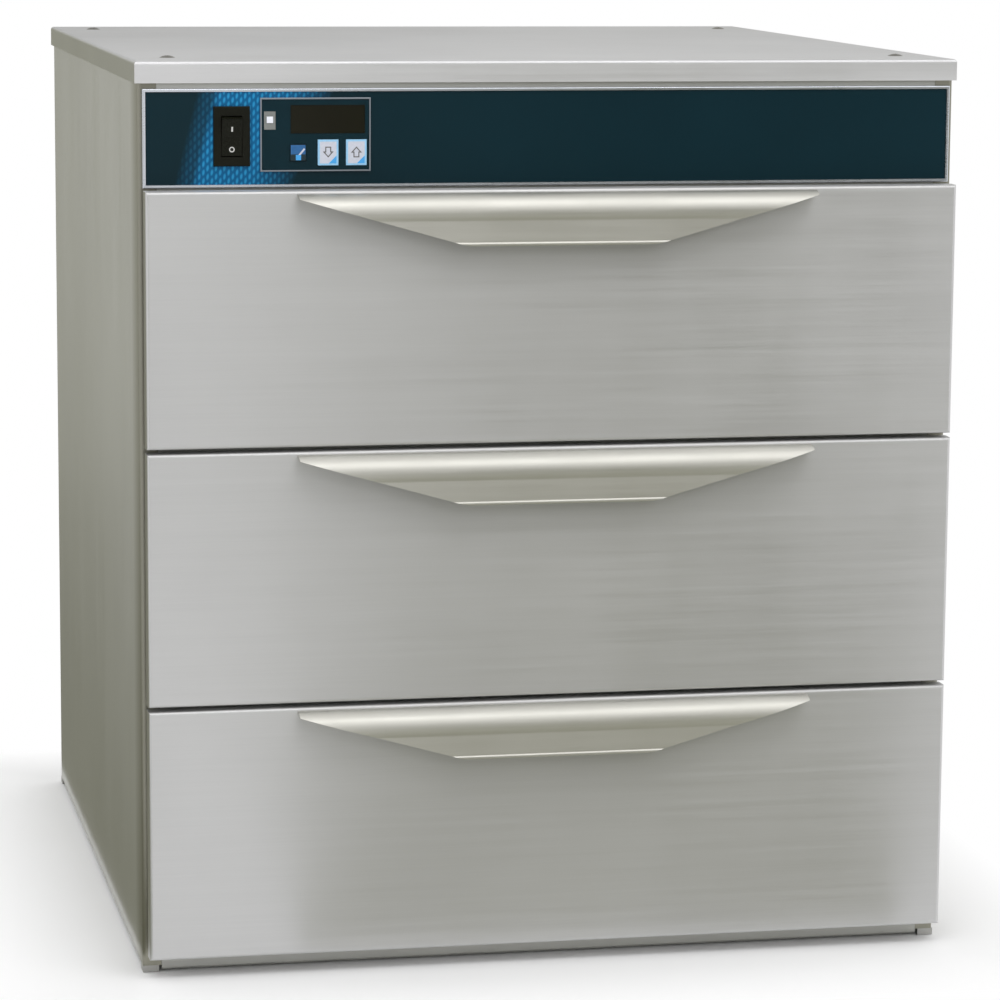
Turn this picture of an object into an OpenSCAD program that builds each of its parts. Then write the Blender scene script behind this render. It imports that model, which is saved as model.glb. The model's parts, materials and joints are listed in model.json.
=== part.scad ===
// Three-drawer plate warming cabinet in stainless sheet, with roller slides, lift-out pans,
// a heated liner and a control panel above the drawers.
// The origin is the bottom centre of the whole object, +Z is up and the drawers open towards -Y.

/* [Casing] */
// Width across the outer faces of the side panels
body_w = 620; // [580:5:680]
// Depth from the front face to the outer face of the back panel
body_d = 650; // [630:5:700]
// Thickness of the casing sheet
casing_t = 1.2; // [1:0.1:1.6]
// Outer radius of the vertical bends of the side panels
casing_bend_r = 3.5; // [2.5:0.5:5]
// Width of the inward front flange of each side panel
stile_flange = 14; // [12:1:18]
// Width of the inward rear flange of each side panel
rear_flange = 22; // [18:1:30]
// Width of the inward top flange of each side panel
top_flange = 46; // [42:1:60]
// Width of the inward bottom flange of each side panel
bottom_flange = 24; // [20:1:30]

/* [Base] */
// Height of the feet under the side panels
foot_h = 5; // [4:0.5:12]
// Side of the square feet
foot_w = 12; // [10:1:14]
// Height of the front strip's lower edge above the floor
strip_lift = 1.5; // [1:0.5:3]
// Height of the front strip's upper edge above the floor
base_h = 14; // [11:0.5:20]
// Distance of the leg holes from the side faces
leg_inset_x = 62; // [58:1:80]
// Distance of the leg holes from the front face and from the back face
leg_inset_y = 70; // [60:1:90]
// Radius of the leg holes
leg_hole_r = 5.25; // [4.25:0.25:6]
// Thickness of the plates round the leg holes
leg_plate_t = 4; // [3:0.5:6]

/* [Top cover] */
// Height of the cover's flange
cover_flange_h = 16; // [12:1:24]
// How far the cover stands out past each side panel and the back panel
cover_lap = 2; // [1.8:0.1:3]
// How far the cover stands out past the front face
cover_front_lap = 3; // [2:0.5:5]
// Radius of the cover's bends
cover_bend_r = 2.5; // [2:0.5:4]
// Distance of the cover's screws from the side faces
cover_screw_x = 29; // [26:1:34]
// Distance of the cover's screws from the front face
cover_screw_front = 55; // [40:1:80]
// Distance of the cover's screws from the back face
cover_screw_back = 60; // [40:1:90]

/* [Drawer fronts] */
// Height of one drawer front
front_h = 189; // [180:0.5:205]
// Gap between two drawer fronts
front_gap = 3.5; // [3:0.5:8]
// Gap between the base and the lowest drawer front
base_gap = 1; // [1:0.5:4]
// Inset of the drawer fronts from the side faces
front_inset = 2.8; // [0.5:0.1:4]
// How far the drawer fronts stand out from the casing face
front_t = 24; // [20:1:32]
// Thickness of the drawer sheet
skin_t = 1.2; // [1:0.1:1.6]
// Radius of the bends round a drawer front
skin_bend_r = 2.2; // [1.8:0.1:3]
// Depth of the returns of a drawer's outer skin
skin_return = 14; // [10:1:16]
// Thickness of the gasket behind a drawer front
gasket_t = 3.6; // [3:0.1:5]
// Width of the gasket's band
gasket_w = 9; // [7:1:11]

/* [Handles] */
// Width of a handle at the top
handle_top_w = 392; // [300:2:480]
// Width of a handle's straight lower edge
handle_low_w = 142; // [100:2:240]
// How far a handle stands out from the drawer front
handle_reach = 18; // [17:0.5:24]
// Radius of the roll at the top of a handle
handle_roll_r = 13; // [11:0.5:15]
// Angle by which the roll turns under past the vertical
handle_tuck = 25; // [10:1:35]
// Radius of the return bend between the roll and the lip
handle_bend_r = 4; // [3:0.5:6]
// Height of the flat lip below the return bend
handle_flat_h = 18.3; // [14:0.1:26]
// Thickness of the handle sheet
handle_t = 1.5; // [1.2:0.1:2]
// Radius of the hem along a handle's lower edge
handle_hem_r = 1.6; // [1.2:0.1:2]
// Radius that rounds a handle's lower corners
handle_corner_r = 55; // [20:5:80]

/* [Control panel] */
// Height of the control panel's bezel
bezel_h = 72.5; // [68:0.5:84]
// Inset of the bezel from the side faces
bezel_inset = 3.4; // [3:0.2:6]
// Width of the bezel's border
bezel_border = 2.2; // [1.6:0.2:4]
// How far the bezel stands out from the casing face
bezel_t = 4; // [3.6:0.2:6]
// Gap between the bezel and the cover's flange
cover_gap = 4; // [3:0.5:8]
// Gap between the bezel and the top drawer front
panel_gap = 1; // [1:0.5:4]
// Distance from the left side face to the switch's centre
switch_x = 68.8; // [62:0.5:69]
// Width of the switch's rim
switch_w = 27; // [25:0.5:29]
// Height of the switch's rim
switch_h = 43.8; // [40:0.2:48]
// Width of the rocker
rocker_w = 15; // [13:0.5:17]
// Height of the rocker
rocker_h = 29.5; // [26:0.5:32]
// Angle of the rocker's throw to each side
rocker_tilt = 9; // [6:1:10]
// Distance from the left side face to the controller's centre
controller_x = 130.8; // [126:0.5:136]
// Width of the controller
controller_w = 82; // [81.5:0.5:86]
// Height of the controller
controller_h = 54; // [52:0.2:58]
// Height of the switch's centre above the middle of the bezel
switch_lift = 1.5; // [0:0.5:4]
// Height of the controller's centre above the middle of the bezel
controller_lift = 2.5; // [0:0.5:4]
// Width of an arrow key
key_w = 15.4; // [12:0.2:15.6]
// Height of an arrow key
key_h = 19; // [15:0.2:19.4]
// Width of the set key
set_key_w = 11.4; // [10:0.2:13]
// Height of the set key
set_key_h = 11.8; // [10:0.2:14]
// Travel of a key
key_travel = 0.8; // [0.4:0.1:1]

/* [Heated cavity] */
// Gap for insulation beside and behind the liner
wall_gap = 30; // [26:1:34]
// Gap for insulation above the liner
roof_gap = 24; // [20:1:26]
// Thickness of the liner sheet
liner_t = 1; // [0.8:0.1:1.4]
// Height of a drawer window's edge above the drawer front's edge
window_inset = 16; // [14:0.5:18]
// Diameter of the heating cable
cable_d = 3; // [2:0.5:3.5]
// Distance between two passes of the heating cable
cable_pitch = 44; // [36:2:60]
// Distance of the heating cable's first pass from the front of the cavity
cable_inset = 60; // [50:2:80]
// Distance of the heating cable's upper bends from the roof of the cavity
cable_drop = 40; // [30:2:80]
// Bend radius of the heating cable round the liner's lower edges
cable_bend_r = 12; // [8:1:20]

/* [Slides] */
// Diameter of the slide rollers
roller_d = 26; // [22:0.5:28]
// Width of the slide rollers
roller_w = 8; // [6:0.5:9]
// Radius of the roller pins
pin_r = 4; // [3:0.25:5]
// Thickness of the slide sheet
rail_t = 1.5; // [1.2:0.1:2]
// Width of a channel's flanges
channel_w = 14; // [13:0.5:16]
// Gap between a channel's end and the back wall of the cavity
channel_back_gap = 51; // [46:1:80]
// Height of a channel's foot above the drawer front's lower edge
channel_z = 98; // [92:1:102]
// How much shorter a drawer's travel is than its channels
travel_spare = 90; // [70:5:160]

/* [Pans] */
// Height of a pan's floor above the drawer front's lower edge
pan_floor_z = 31; // [29:1:60]
// Distance from the top of a drawer front down to the pan's rim
pan_drop = 24.5; // [22:0.5:30]
// Wall thickness of a pan
pan_t = 1.2; // [0.8:0.1:1.6]
// Corner radius of a pan at the rim
pan_corner_r = 36; // [24:2:60]
// How much narrower a pan is at its floor on each side
pan_taper = 9; // [4:1:16]
// Width of the pan's rim
pan_rim = 11; // [9:1:13]

/* [Hidden] */
$fn = 48;

steel = [0.72, 0.72, 0.70];
dark_steel = [0.55, 0.55, 0.52];
rubber = [0.08, 0.08, 0.08];
plastic = [0.06, 0.06, 0.05];
panel_blue = [0.11, 0.18, 0.21];
key_blue = [0.45, 0.75, 0.95];
wool = [0.86, 0.80, 0.55];

drawer_count = 3;
// Clearance between sheets that lie on each other
fit_gap = 0.2;
// Clearance between pieces that move past each other
run_gap = 0.3;
// Radial clearance of a roller on its pin
pin_gap = 0.05;
// Length that a cutting shape runs past the face that it cuts
cut = 1;

// The stack of heights, from the floor to the cover
front_pitch = front_h + front_gap;
first_front_z = base_h + base_gap;
fronts_top = first_front_z + drawer_count * front_pitch - front_gap;
bezel_z = fronts_top + panel_gap;
body_h = bezel_z + bezel_h + cover_gap + cover_flange_h;
cover_z = body_h - casing_t;
panel_top = cover_z - fit_gap;

// Depths: the gland is what stands out furthest behind
gland_reach = 9;
handle_drop = handle_roll_r + (handle_roll_r + handle_bend_r) * sin(handle_tuck) + handle_flat_h;
overall_d = handle_reach + front_t + body_d + gland_reach;
face_y = handle_reach + front_t - overall_d / 2;

half_w = body_w / 2;
liner_w = body_w - 2 * (casing_t + wall_gap + liner_t);
liner_half = liner_w / 2;
liner_floor = first_front_z + window_inset - 2;
window_top = fronts_top - window_inset;
liner_roof = window_top + 2;
liner_back = body_d - casing_t - wall_gap - liner_t;
frame_lip = 10;
liner_front = casing_t + 2 * fit_gap + casing_t;

shelf_z = liner_roof + liner_t + roof_gap;
shelf_t = 1.2;

channel_x = liner_half;
channel_y = liner_front + liner_t + 3;
channel_l = liner_back - channel_y - channel_back_gap;
drawer_travel = channel_l - travel_spare;
rail_half = channel_x - channel_w - 0.5;
rear_roller_x = rail_half + 2.2;
track_h = roller_d + 2 * run_gap + rail_t + 0.6;
channel_h = track_h + 2 * rail_t;
roller_z = channel_z + rail_t + run_gap + roller_d / 2;
front_roller_y = channel_y + roller_d / 2 + 4;
rear_roller_y = front_roller_y + roller_d + 4 + drawer_travel;
roller_out = channel_x - rail_t - 0.6;
pin_head_t = 1.2;
pin_head_r = pin_r + 2;
frame_back = rear_roller_y + roller_d / 2 + 6;

rim_z = front_h - pan_drop;
rim_t = 2.4;
ledge_z = rim_z - rim_t - fit_gap;
pan_y0 = 8;
// Height of the drawer frame's cross plates below the pan's rim
frame_end_h = 46;
pan_back = frame_back - 4;
pan_half = rail_half - rail_t - 2;

// Height of the front of drawer i above the floor, counted from the top
function drawer_z(i) = first_front_z + (drawer_count - i) * front_pitch;

// Moves a shape from the casing's own frame, where y is 0 at the front face
module placed() translate([0, face_y, 0]) children();

// Moves a shape to drawer i, where z is 0 at the lower edge of its front
module at_drawer(i) translate([0, face_y, drawer_z(i)]) children();

// The shape and its mirror image across the middle of the cabinet
module both_sides() {
    children();
    mirror([1, 0, 0]) children();
}

module round_rect(w, h, r) {
    translate([r, 0]) square([w - 2 * r, h]);
    translate([0, r]) square([w, h - 2 * r]);
    for (x = [r, w - r], y = [r, h - r]) translate([x, y]) circle(r = r);
}

// Outline with two rounded upper corners, width w centred on 0 and height h below 0
module round_top(w, h, r) {
    translate([-w / 2, -h]) square([w, h - r]);
    translate([-w / 2 + r, -h]) square([w - 2 * r, h]);
    for (x = [-w / 2 + r, w / 2 - r]) translate([x, -r]) circle(r = r);
}

// Block with rounded edges round its top face, which lies at z = 0
module soft_block(w, l, d, r) {
    intersection() {
        translate([0, l / 2, 0]) rotate([90, 0, 0]) linear_extrude(l) round_top(w, d, r);
        translate([-w / 2, 0, 0]) rotate([90, 0, 90]) linear_extrude(w) round_top(l, d, r);
    }
}

// Sheet tray with its face at z = 0 and its returns going down
module tray(w, l, d, t, r) {
    difference() {
        soft_block(w, l, d, r);
        translate([0, 0, -t]) soft_block(w - 2 * t, l - 2 * t, d + cut, r - t);
    }
}

// Tray that faces the front: y = 0 is its face, z = 0 its lower edge
module front_tray(w, h, d, t, r) translate([0, 0, h / 2]) rotate([90, 0, 0]) tray(w, h, d, t, r);

// Box from its lowest corner to its highest
module span(a, b) translate(a) cube(b - a);

// Ring of rectangular outline that faces the front
module front_ring(a, b, band) {
    difference() {
        span(a, b);
        span([a[0] + band, a[1] - cut, a[2] + band], [b[0] - band, b[1] + cut, b[2] - band]);
    }
}

module hole_y(x, z, y0, y1, r) translate([x, y0, z]) rotate([-90, 0, 0]) cylinder(h = y1 - y0, r = r);

module hole_x(y, z, x0, x1, r) translate([x0, y, z]) rotate([0, 90, 0]) cylinder(h = x1 - x0, r = r);

// Low domed screw head that stands on z = 0 and looks up, with its shank below
module truss_screw(head_r, head_h, shank_r, shank_l) {
    dome_r = (head_r * head_r + head_h * head_h) / (2 * head_h);
    difference() {
        union() {
            intersection() {
                translate([0, 0, head_h - dome_r]) sphere(r = dome_r);
                cylinder(h = head_h + cut, r = head_r);
            }
            translate([0, 0, -shank_l]) cylinder(h = shank_l + head_h / 4, r = shank_r);
        }
        for (a = [0, 90]) rotate([0, 0, a]) translate([-head_r / 2, -0.4, head_h * 0.4]) cube([head_r, 0.8, head_h]);
    }
}

// Casing

module cover_screw_places() {
    for (x = [-half_w + cover_screw_x, half_w - cover_screw_x], y = [cover_screw_front, body_d - cover_screw_back])
        translate([x, y, 0]) children();
}

screw_r = 2.4;
screw_head_r = 6;
screw_head_h = 1.6;

module top_cover() {
    cover_w = body_w + 2 * cover_lap;
    cover_l = body_d + cover_front_lap + cover_lap;
    slit_y = 17;
    color(steel) placed() difference() {
        translate([0, cover_l / 2 - cover_front_lap, body_h])
            tray(cover_w, cover_l, cover_flange_h, casing_t, cover_bend_r);
        cover_screw_places() translate([0, 0, cover_z - cut]) cylinder(h = casing_t + 2 * cut, r = screw_r + 0.3);
        // The slit behind each front corner, where the folded tab of the front flange ends
        both_sides() span([half_w - cut, slit_y, body_h - cover_flange_h - cut],
            [half_w + cover_lap + cut, slit_y + 0.7, body_h - cover_bend_r - 1.5]);
    }
}

module cover_screws() {
    color(dark_steel) placed() cover_screw_places() translate([0, 0, body_h])
        truss_screw(screw_head_r, screw_head_h, screw_r, 10);
}

// Plan of the casing's outside
module casing_plan() translate([-half_w, 0]) round_rect(body_w, body_d - casing_t, casing_bend_r);

// Level flange of the left panel, cut to the casing's plan
module level_flange(w, z, front = 0) {
    translate([0, 0, z]) linear_extrude(casing_t) intersection() {
        casing_plan();
        translate([-half_w, front]) square([w, body_d - front]);
    }
}

// Left panel; its plan is a channel with bent corners
module side_panel() {
    pilot_z = 35;
    difference() {
        union() {
            translate([0, 0, foot_h]) linear_extrude(panel_top - foot_h) intersection() {
                difference() {
                    casing_plan();
                    translate([-half_w + casing_t, casing_t])
                        round_rect(body_w - 2 * casing_t, body_d - 3 * casing_t, casing_bend_r - casing_t);
                }
                union() {
                    translate([-half_w, 0]) square([stile_flange, body_d / 2]);
                    translate([-half_w, body_d / 2]) square([rear_flange, body_d / 2]);
                }
            }
            level_flange(top_flange, panel_top - casing_t);
            level_flange(bottom_flange, foot_h, casing_t + fit_gap);
        }
        cover_screw_places() translate([0, 0, panel_top - casing_t - cut])
            cylinder(h = casing_t + 2 * cut, r = screw_r + 0.1);
        hole_x(casing_bend_r + 1.5, pilot_z, -half_w - cut, -half_w + casing_t + cut, 1.2);
        back_screw_holes(body_d - 3 * casing_t, body_d, screw_r + 0.1);
    }
}

module left_side_panel() color(steel) placed() side_panel();

module right_side_panel() color(steel) placed() mirror([1, 0, 0]) side_panel();

back_screw_l = 8;
back_screw_x = half_w - 12;
back_screw_zs = [40, body_h / 2, body_h - 60];

module back_screw_holes(y0, y1, r) {
    for (x = [-back_screw_x, back_screw_x], z = back_screw_zs) hole_y(x, z, y0, y1, r);
}

gland_inset = 70;
gland_x = half_w - gland_inset;
gland_z = foot_h + 44;
gland_r = 11;
gland_bore_r = 5.5;

module back_panel() {
    vent_count = 9;
    vent_pitch = 14;
    vent_w = 5;
    vent_h = 34;
    vent_z = shelf_z + 16;
    y0 = body_d - casing_t;
    margin = 2;
    color(steel) placed() difference() {
        span([-half_w + margin, y0 + fit_gap, foot_h + casing_t + 1], [half_w - margin, body_d, panel_top - casing_t]);
        back_screw_holes(y0 - cut, body_d + cut, screw_r + 0.3);
        hole_y(gland_x, gland_z, y0 - cut, body_d + cut, gland_r + 0.1);
        for (i = [0 : vent_count - 1], s = [-1, 1])
            translate([s * (60 + i * vent_pitch) - vent_w / 2, body_d + cut, vent_z])
                rotate([90, 0, 0]) linear_extrude(casing_t + 2 * cut) round_rect(vent_w, vent_h, vent_w / 2 - 0.1);
    }
}

module back_screws() {
    color(dark_steel) placed() for (x = [-back_screw_x, back_screw_x], z = back_screw_zs)
        translate([x, body_d, z]) rotate([-90, 0, 0]) truss_screw(4.5, 1.6, screw_r, back_screw_l);
}

module leg_places() {
    for (x = [-half_w + leg_inset_x, half_w - leg_inset_x], y = [leg_inset_y, body_d - leg_inset_y])
        translate([x, y, 0]) children();
}

bottom_z = foot_h + casing_t + fit_gap;

module bottom_panel() {
    // The sheet stays clear of the casing's bends
    side = half_w - casing_t - 1.2;
    color(dark_steel) placed() difference() {
        span([-side, 2 * casing_t + 1, bottom_z], [side, body_d - 2 * casing_t - 0.8, bottom_z + casing_t]);
        leg_places() translate([0, 0, bottom_z - cut]) cylinder(h = casing_t + 2 * cut, r = leg_hole_r);
    }
}

module leg_plates() {
    side = 50;
    z0 = bottom_z + casing_t;
    color(dark_steel) placed() leg_places() difference() {
        translate([-side / 2, -side / 2, z0]) cube([side, side, leg_plate_t]);
        translate([0, 0, z0 - cut]) cylinder(h = leg_plate_t + 2 * cut, r = leg_hole_r);
    }
}

module feet() {
    color(dark_steel) placed() both_sides() {
        span([half_w - foot_w, 0, 0], [half_w, foot_w, foot_h]);
        span([half_w - foot_w, body_d - casing_t - foot_w, 0], [half_w, body_d - casing_t, foot_h]);
    }
}

// Front strip under the lowest drawer, a channel that lies on its side
module base_strip() {
    strip_half = half_w - stile_flange - fit_gap;
    strip_d = 12;
    color(steel) placed() translate([-strip_half, 0, 0]) rotate([90, 0, 90])
        linear_extrude(2 * strip_half) difference() {
            translate([0, strip_lift]) round_rect(2 * strip_d, base_h - strip_lift, 2);
            translate([casing_t, strip_lift + casing_t])
                round_rect(2 * strip_d, base_h - strip_lift - 2 * casing_t, 2 - casing_t);
            translate([strip_d, 0]) square([2 * strip_d, base_h + cut]);
        }
}

// Front frame: a coplanar plate between the side panels' flanges, with lips behind them
switch_cx = -half_w + switch_x;
controller_cx = -half_w + controller_x;
controls_z = bezel_z + bezel_h / 2 + controller_lift;
switch_z = bezel_z + bezel_h / 2 + switch_lift;

module front_frame() {
    plate_half = half_w - stile_flange - fit_gap;
    lap = 14;
    color(steel) placed() difference() {
        union() {
            span([-plate_half, 0, base_h + fit_gap], [plate_half, casing_t, panel_top - casing_t - fit_gap]);
            both_sides() {
                span([plate_half - lap, casing_t / 2, base_h + fit_gap],
                    [plate_half, liner_front - fit_gap, panel_top - casing_t - fit_gap]);
                span([plate_half - lap, casing_t + fit_gap, base_h + fit_gap],
                    [half_w - casing_bend_r - 1, liner_front - fit_gap, panel_top - casing_t - fit_gap]);
            }
        }
        for (i = [1 : drawer_count]) span([-liner_half, -cut, drawer_z(i) + window_inset],
            [liner_half, liner_front + cut, drawer_z(i) + front_h - window_inset]);
        // Opening behind the controls
        span([switch_cx - switch_w / 2 - 4, -cut, bezel_z + 10],
            [controller_cx + controller_w / 2 + 4, liner_front + cut, bezel_z + bezel_h - 6]);
    }
}

// Heated cavity

// The cavity's inner outline with coved lower edges, grown by a sheet and drawn from y0 to y1
module cavity(grow, y0, y1) {
    h = liner_roof - liner_floor;
    translate([0, y0, liner_floor - grow]) mirror([0, 0, 1]) mirror([0, 1, 0]) rotate([90, 0, 0])
        linear_extrude(y1 - y0) round_top(2 * (liner_half + grow), h + 2 * grow, cove_r + grow);
}

module inner_liner() {
    out = liner_half + liner_t;
    color(steel) placed() difference() {
        union() {
            cavity(liner_t, liner_front, liner_back + liner_t);
            span([-out - frame_lip, liner_front, liner_floor - liner_t],
                [out + frame_lip, liner_front + liner_t, liner_roof + liner_t + frame_lip]);
        }
        cavity(0, liner_front - cut, liner_back);
        hole_y(sensor_x, sensor_z, liner_back - cut, liner_back + liner_t + cut, sensor_r + 0.3);
    }
}

module insulation() {
    side = half_w - casing_t - 1;
    inner = liner_half + liner_t + cable_d + 1;
    floor_z = bottom_z + casing_t + fit_gap;
    inner_floor = liner_floor - liner_t - cable_d - 1;
    inner_roof = liner_roof + liner_t + 1;
    y0 = liner_front + liner_t + frame_lip;
    color(wool) placed() difference() {
        span([-side, y0, floor_z], [side, body_d - 2 * casing_t - 2, shelf_z - 1]);
        span([-inner, y0 - cut, inner_floor], [inner, liner_back + liner_t + 1, inner_roof]);
        leg_places() translate([0, 0, floor_z - cut]) cylinder(h = leg_plate_t + 14, r = 40);
        hole_y(gland_x, gland_z, liner_back, body_d, gland_r + 4);
        hole_y(sensor_x, sensor_z, liner_back, body_d, sensor_r + 2);
        both_sides() span([half_w - rear_flange - 2, body_d - back_screw_l - 2, 0], [half_w, body_d, shelf_z]);
    }
}

// One unbroken cable that goes down one side of the liner, under its floor and up the other, and back
cable_x = liner_half + liner_t + cable_d / 2 + 0.3;
cable_z = liner_floor - liner_t - cable_d / 2 - 0.3;
cable_top = liner_roof - cable_drop;
cable_y0 = liner_front + cable_inset;
// The liner's lower edges are coved round the same centres as the cable's bends
cove_r = cable_bend_r - cable_d / 2 - 0.3 - liner_t;
cable_passes = floor((liner_back - cable_inset / 2 - cable_y0) / cable_pitch) + 1;

module cable_run(from, to) {
    v = to - from;
    translate(from) rotate([0, acos(v[2] / norm(v)), atan2(v[1], v[0])]) cylinder(h = norm(v), r = cable_d / 2, $fn = 16);
}

module cable_arc(bend_r, angle) rotate_extrude(angle = angle) translate([bend_r, 0]) circle(r = cable_d / 2, $fn = 16);

module cable_pass(y) {
    b = cable_bend_r;
    both_sides() {
        cable_run([cable_x, y, cable_z + b], [cable_x, y, cable_top]);
        translate([cable_x - b, y, cable_z + b]) rotate([90, 0, 0]) rotate([0, 0, -90]) cable_arc(b, 90);
    }
    cable_run([-cable_x + b, y, cable_z], [cable_x - b, y, cable_z]);
}

module heating_cable() {
    color(rubber) placed() {
        for (k = [0 : cable_passes - 1]) cable_pass(cable_y0 + k * cable_pitch);
        for (k = [0 : cable_passes - 2]) {
            side = k % 2 == 0 ? 1 : -1;
            translate([side * cable_x, cable_y0 + (k + 0.5) * cable_pitch, cable_top])
                rotate([0, 0, 90]) rotate([90, 0, 0]) cable_arc(cable_pitch / 2, 180);
        }
    }
}

// Temperature sensor on the back wall of the cavity, with its guard
sensor_x = 120;
sensor_z = (liner_floor + liner_roof) / 2;
sensor_r = 3;

module air_sensor() {
    reach = 22;
    guard_t = 1.2;
    color(dark_steel) placed() {
        hole_y(sensor_x, sensor_z, liner_back - reach, liner_back + liner_t + 3, sensor_r);
        difference() {
            span([sensor_x - 14, liner_back - reach - 4, sensor_z - 10], [sensor_x + 14, liner_back - fit_gap, sensor_z + 10]);
            span([sensor_x - 14 + guard_t, liner_back - reach - 4 + guard_t, sensor_z - 10 - cut],
                [sensor_x + 14 - guard_t, liner_back, sensor_z + 10 + cut]);
        }
        // Clip that ties the tube to the guard
        span([sensor_x - 14 + guard_t / 2, liner_back - 10, sensor_z - 1], [sensor_x + 14 - guard_t / 2, liner_back - 8, sensor_z + 1]);
    }
}

// Control compartment

module control_shelf() {
    side = half_w - casing_t - 0.5;
    lip = 14;
    back = body_d - 2 * casing_t - 1;
    color(dark_steel) placed() {
        difference() {
            span([-side, liner_front, shelf_z], [side, back, shelf_z + lip]);
            span([-side + shelf_t, liner_front - cut, shelf_z + shelf_t], [side - shelf_t, back - shelf_t, shelf_z + lip + cut]);
        }
        // The front edge is turned down behind the front frame
        span([-side, liner_front, shelf_z - lip / 2], [side, liner_front + shelf_t, shelf_z + shelf_t / 2]);
    }
}

module switch_cutout(grow, y0, y1) {
    span([switch_cx - rocker_w / 2 - 3 - grow, y0, switch_z - rocker_h / 2 - 3 - grow],
        [switch_cx + rocker_w / 2 + 3 + grow, y1, switch_z + rocker_h / 2 + 3 + grow]);
}

module controller_cutout(grow, y0, y1) {
    in = 1.4;
    span([controller_cx - controller_w / 2 + in - grow, y0, controls_z - controller_h / 2 + in - grow],
        [controller_cx + controller_w / 2 - in + grow, y1, controls_z + controller_h / 2 - in + grow]);
}

module control_bezel() {
    w = body_w - 2 * bezel_inset;
    floor_y = -fit_gap - 1.8;
    color([0.80, 0.82, 0.86]) placed() difference() {
        translate([0, -bezel_t, bezel_z]) front_solid(w, bezel_h, bezel_t - fit_gap, 0.8);
        span([-w / 2 + bezel_border, -bezel_t - cut, bezel_z + bezel_border],
            [w / 2 - bezel_border, floor_y, bezel_z + bezel_h - bezel_border]);
        switch_cutout(0, -bezel_t, cut);
        controller_cutout(0, -bezel_t, cut);
    }
}

// Block that faces the front with softened front edges: y = 0 is its face, z = 0 its lower edge
module front_solid(w, h, d, r) translate([0, 0, h / 2]) rotate([90, 0, 0]) soft_block(w, h, d, r);

overlay_t = 0.8;
overlay_y = -fit_gap - 1.8 - 0.1 - overlay_t;

module control_overlay() {
    w = body_w - 2 * bezel_inset - 2 * bezel_border - 2 * fit_gap;
    h = bezel_h - 2 * bezel_border - 2 * fit_gap;
    color(panel_blue) placed() difference() {
        span([-w / 2, overlay_y, bezel_z + bezel_border + fit_gap], [w / 2, overlay_y + overlay_t, bezel_z + bezel_border + fit_gap + h]);
        switch_cutout(0, -bezel_t - cut, cut);
        controller_cutout(0, -bezel_t - cut, cut);
    }
}

// The controller: a thin raised frame, a face with windows for the keys, and a box behind
controller_y = overlay_y - fit_gap;
frame_t = 1.6;
key_z = controls_z - 13.2;
key_xs = [controller_cx - 13.1, controller_cx + 9.2, controller_cx + 30.2];
key_ws = [set_key_w, key_w, key_w];
key_hs = [set_key_h, key_h, key_h];
window_w = 55;
window_h = 20.6;
window_cx = controller_cx + 9.1;
window_cz = controls_z + 11.2;
lamp_cx = controller_cx - 33.9;
lamp_cz = controls_z + 10.4;
lamp_w = 8.4;
lamp_h = 13.2;

module controller_windows(grow, y0, y1) {
    for (k = [0 : 2]) span([key_xs[k] - key_ws[k] / 2 - grow, y0, key_z - key_hs[k] / 2 - grow],
        [key_xs[k] + key_ws[k] / 2 + grow, y1, key_z + key_hs[k] / 2 + grow]);
}

module controller_frame() {
    border = 1.1;
    color([0.75, 0.77, 0.80]) placed() {
        translate([controller_cx, controller_y - frame_t, controls_z - controller_h / 2]) difference() {
            front_solid(controller_w, controller_h, frame_t, 0.4);
            translate([-controller_w / 2 + border, -cut, border]) cube([controller_w - 2 * border, frame_t + 2 * cut, controller_h - 2 * border]);
        }
    }
}

face_t = 1;

module controller_box() {
    box_d = 58;
    in = 1.1 + fit_gap;
    y0 = controller_y - face_t;
    color(plastic) placed() difference() {
        union() {
            span([controller_cx - controller_w / 2 + in, y0, controls_z - controller_h / 2 + in],
                [controller_cx + controller_w / 2 - in, controller_y, controls_z + controller_h / 2 - in]);
            controller_cutout(-0.5, y0 + face_t / 2, box_d);
        }
        controller_windows(run_gap, y0 - cut, controller_y + 4);
        span([window_cx - window_w / 2 - fit_gap, y0 - cut, window_cz - window_h / 2 - fit_gap],
            [window_cx + window_w / 2 + fit_gap, y0 + 0.7, window_cz + window_h / 2 + fit_gap]);
        span([lamp_cx - lamp_w / 2 - fit_gap, y0 - cut, lamp_cz - lamp_h / 2 - fit_gap],
            [lamp_cx + lamp_w / 2 + fit_gap, y0 + 0.7, lamp_cz + lamp_h / 2 + fit_gap]);
    }
}

module display_window() {
    y0 = controller_y - face_t;
    color([0.13, 0.13, 0.09]) placed()
        span([window_cx - window_w / 2, y0 - 0.2, window_cz - window_h / 2], [window_cx + window_w / 2, y0 + 0.6, window_cz + window_h / 2]);
}

module indicator_lamp() {
    y0 = controller_y - face_t;
    lens = 5;
    color([0.6, 0.62, 0.6]) placed() {
        span([lamp_cx - lamp_w / 2, y0 - 0.2, lamp_cz - lamp_h / 2], [lamp_cx + lamp_w / 2, y0 + 0.6, lamp_cz + lamp_h / 2]);
        span([lamp_cx - lens / 2, y0 - 0.8, lamp_cz - lens / 2 + 0.6], [lamp_cx + lens / 2, y0, lamp_cz + lens / 2 + 0.6]);
    }
}

// Key cap on the stem of its switch, with room behind for its travel
module key(k) {
    y0 = controller_y - face_t - key_travel - 0.3;
    color(k == 0 ? [0.15, 0.40, 0.58] : key_blue) placed() {
        translate([key_xs[k], y0, key_z - key_hs[k] / 2]) front_solid(key_ws[k], key_hs[k], 2.2, 0.4);
        hole_y(key_xs[k], key_z, y0 + 2, controller_y + 4 - key_travel - run_gap, 2.5);
    }
}

module set_key() key(0);
module down_key() key(1);
module up_key() key(2);

// Rocker switch: the pocket and the rocker's ends are arcs round the same pivot
pivot_y = overlay_y + 1.5;

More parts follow.
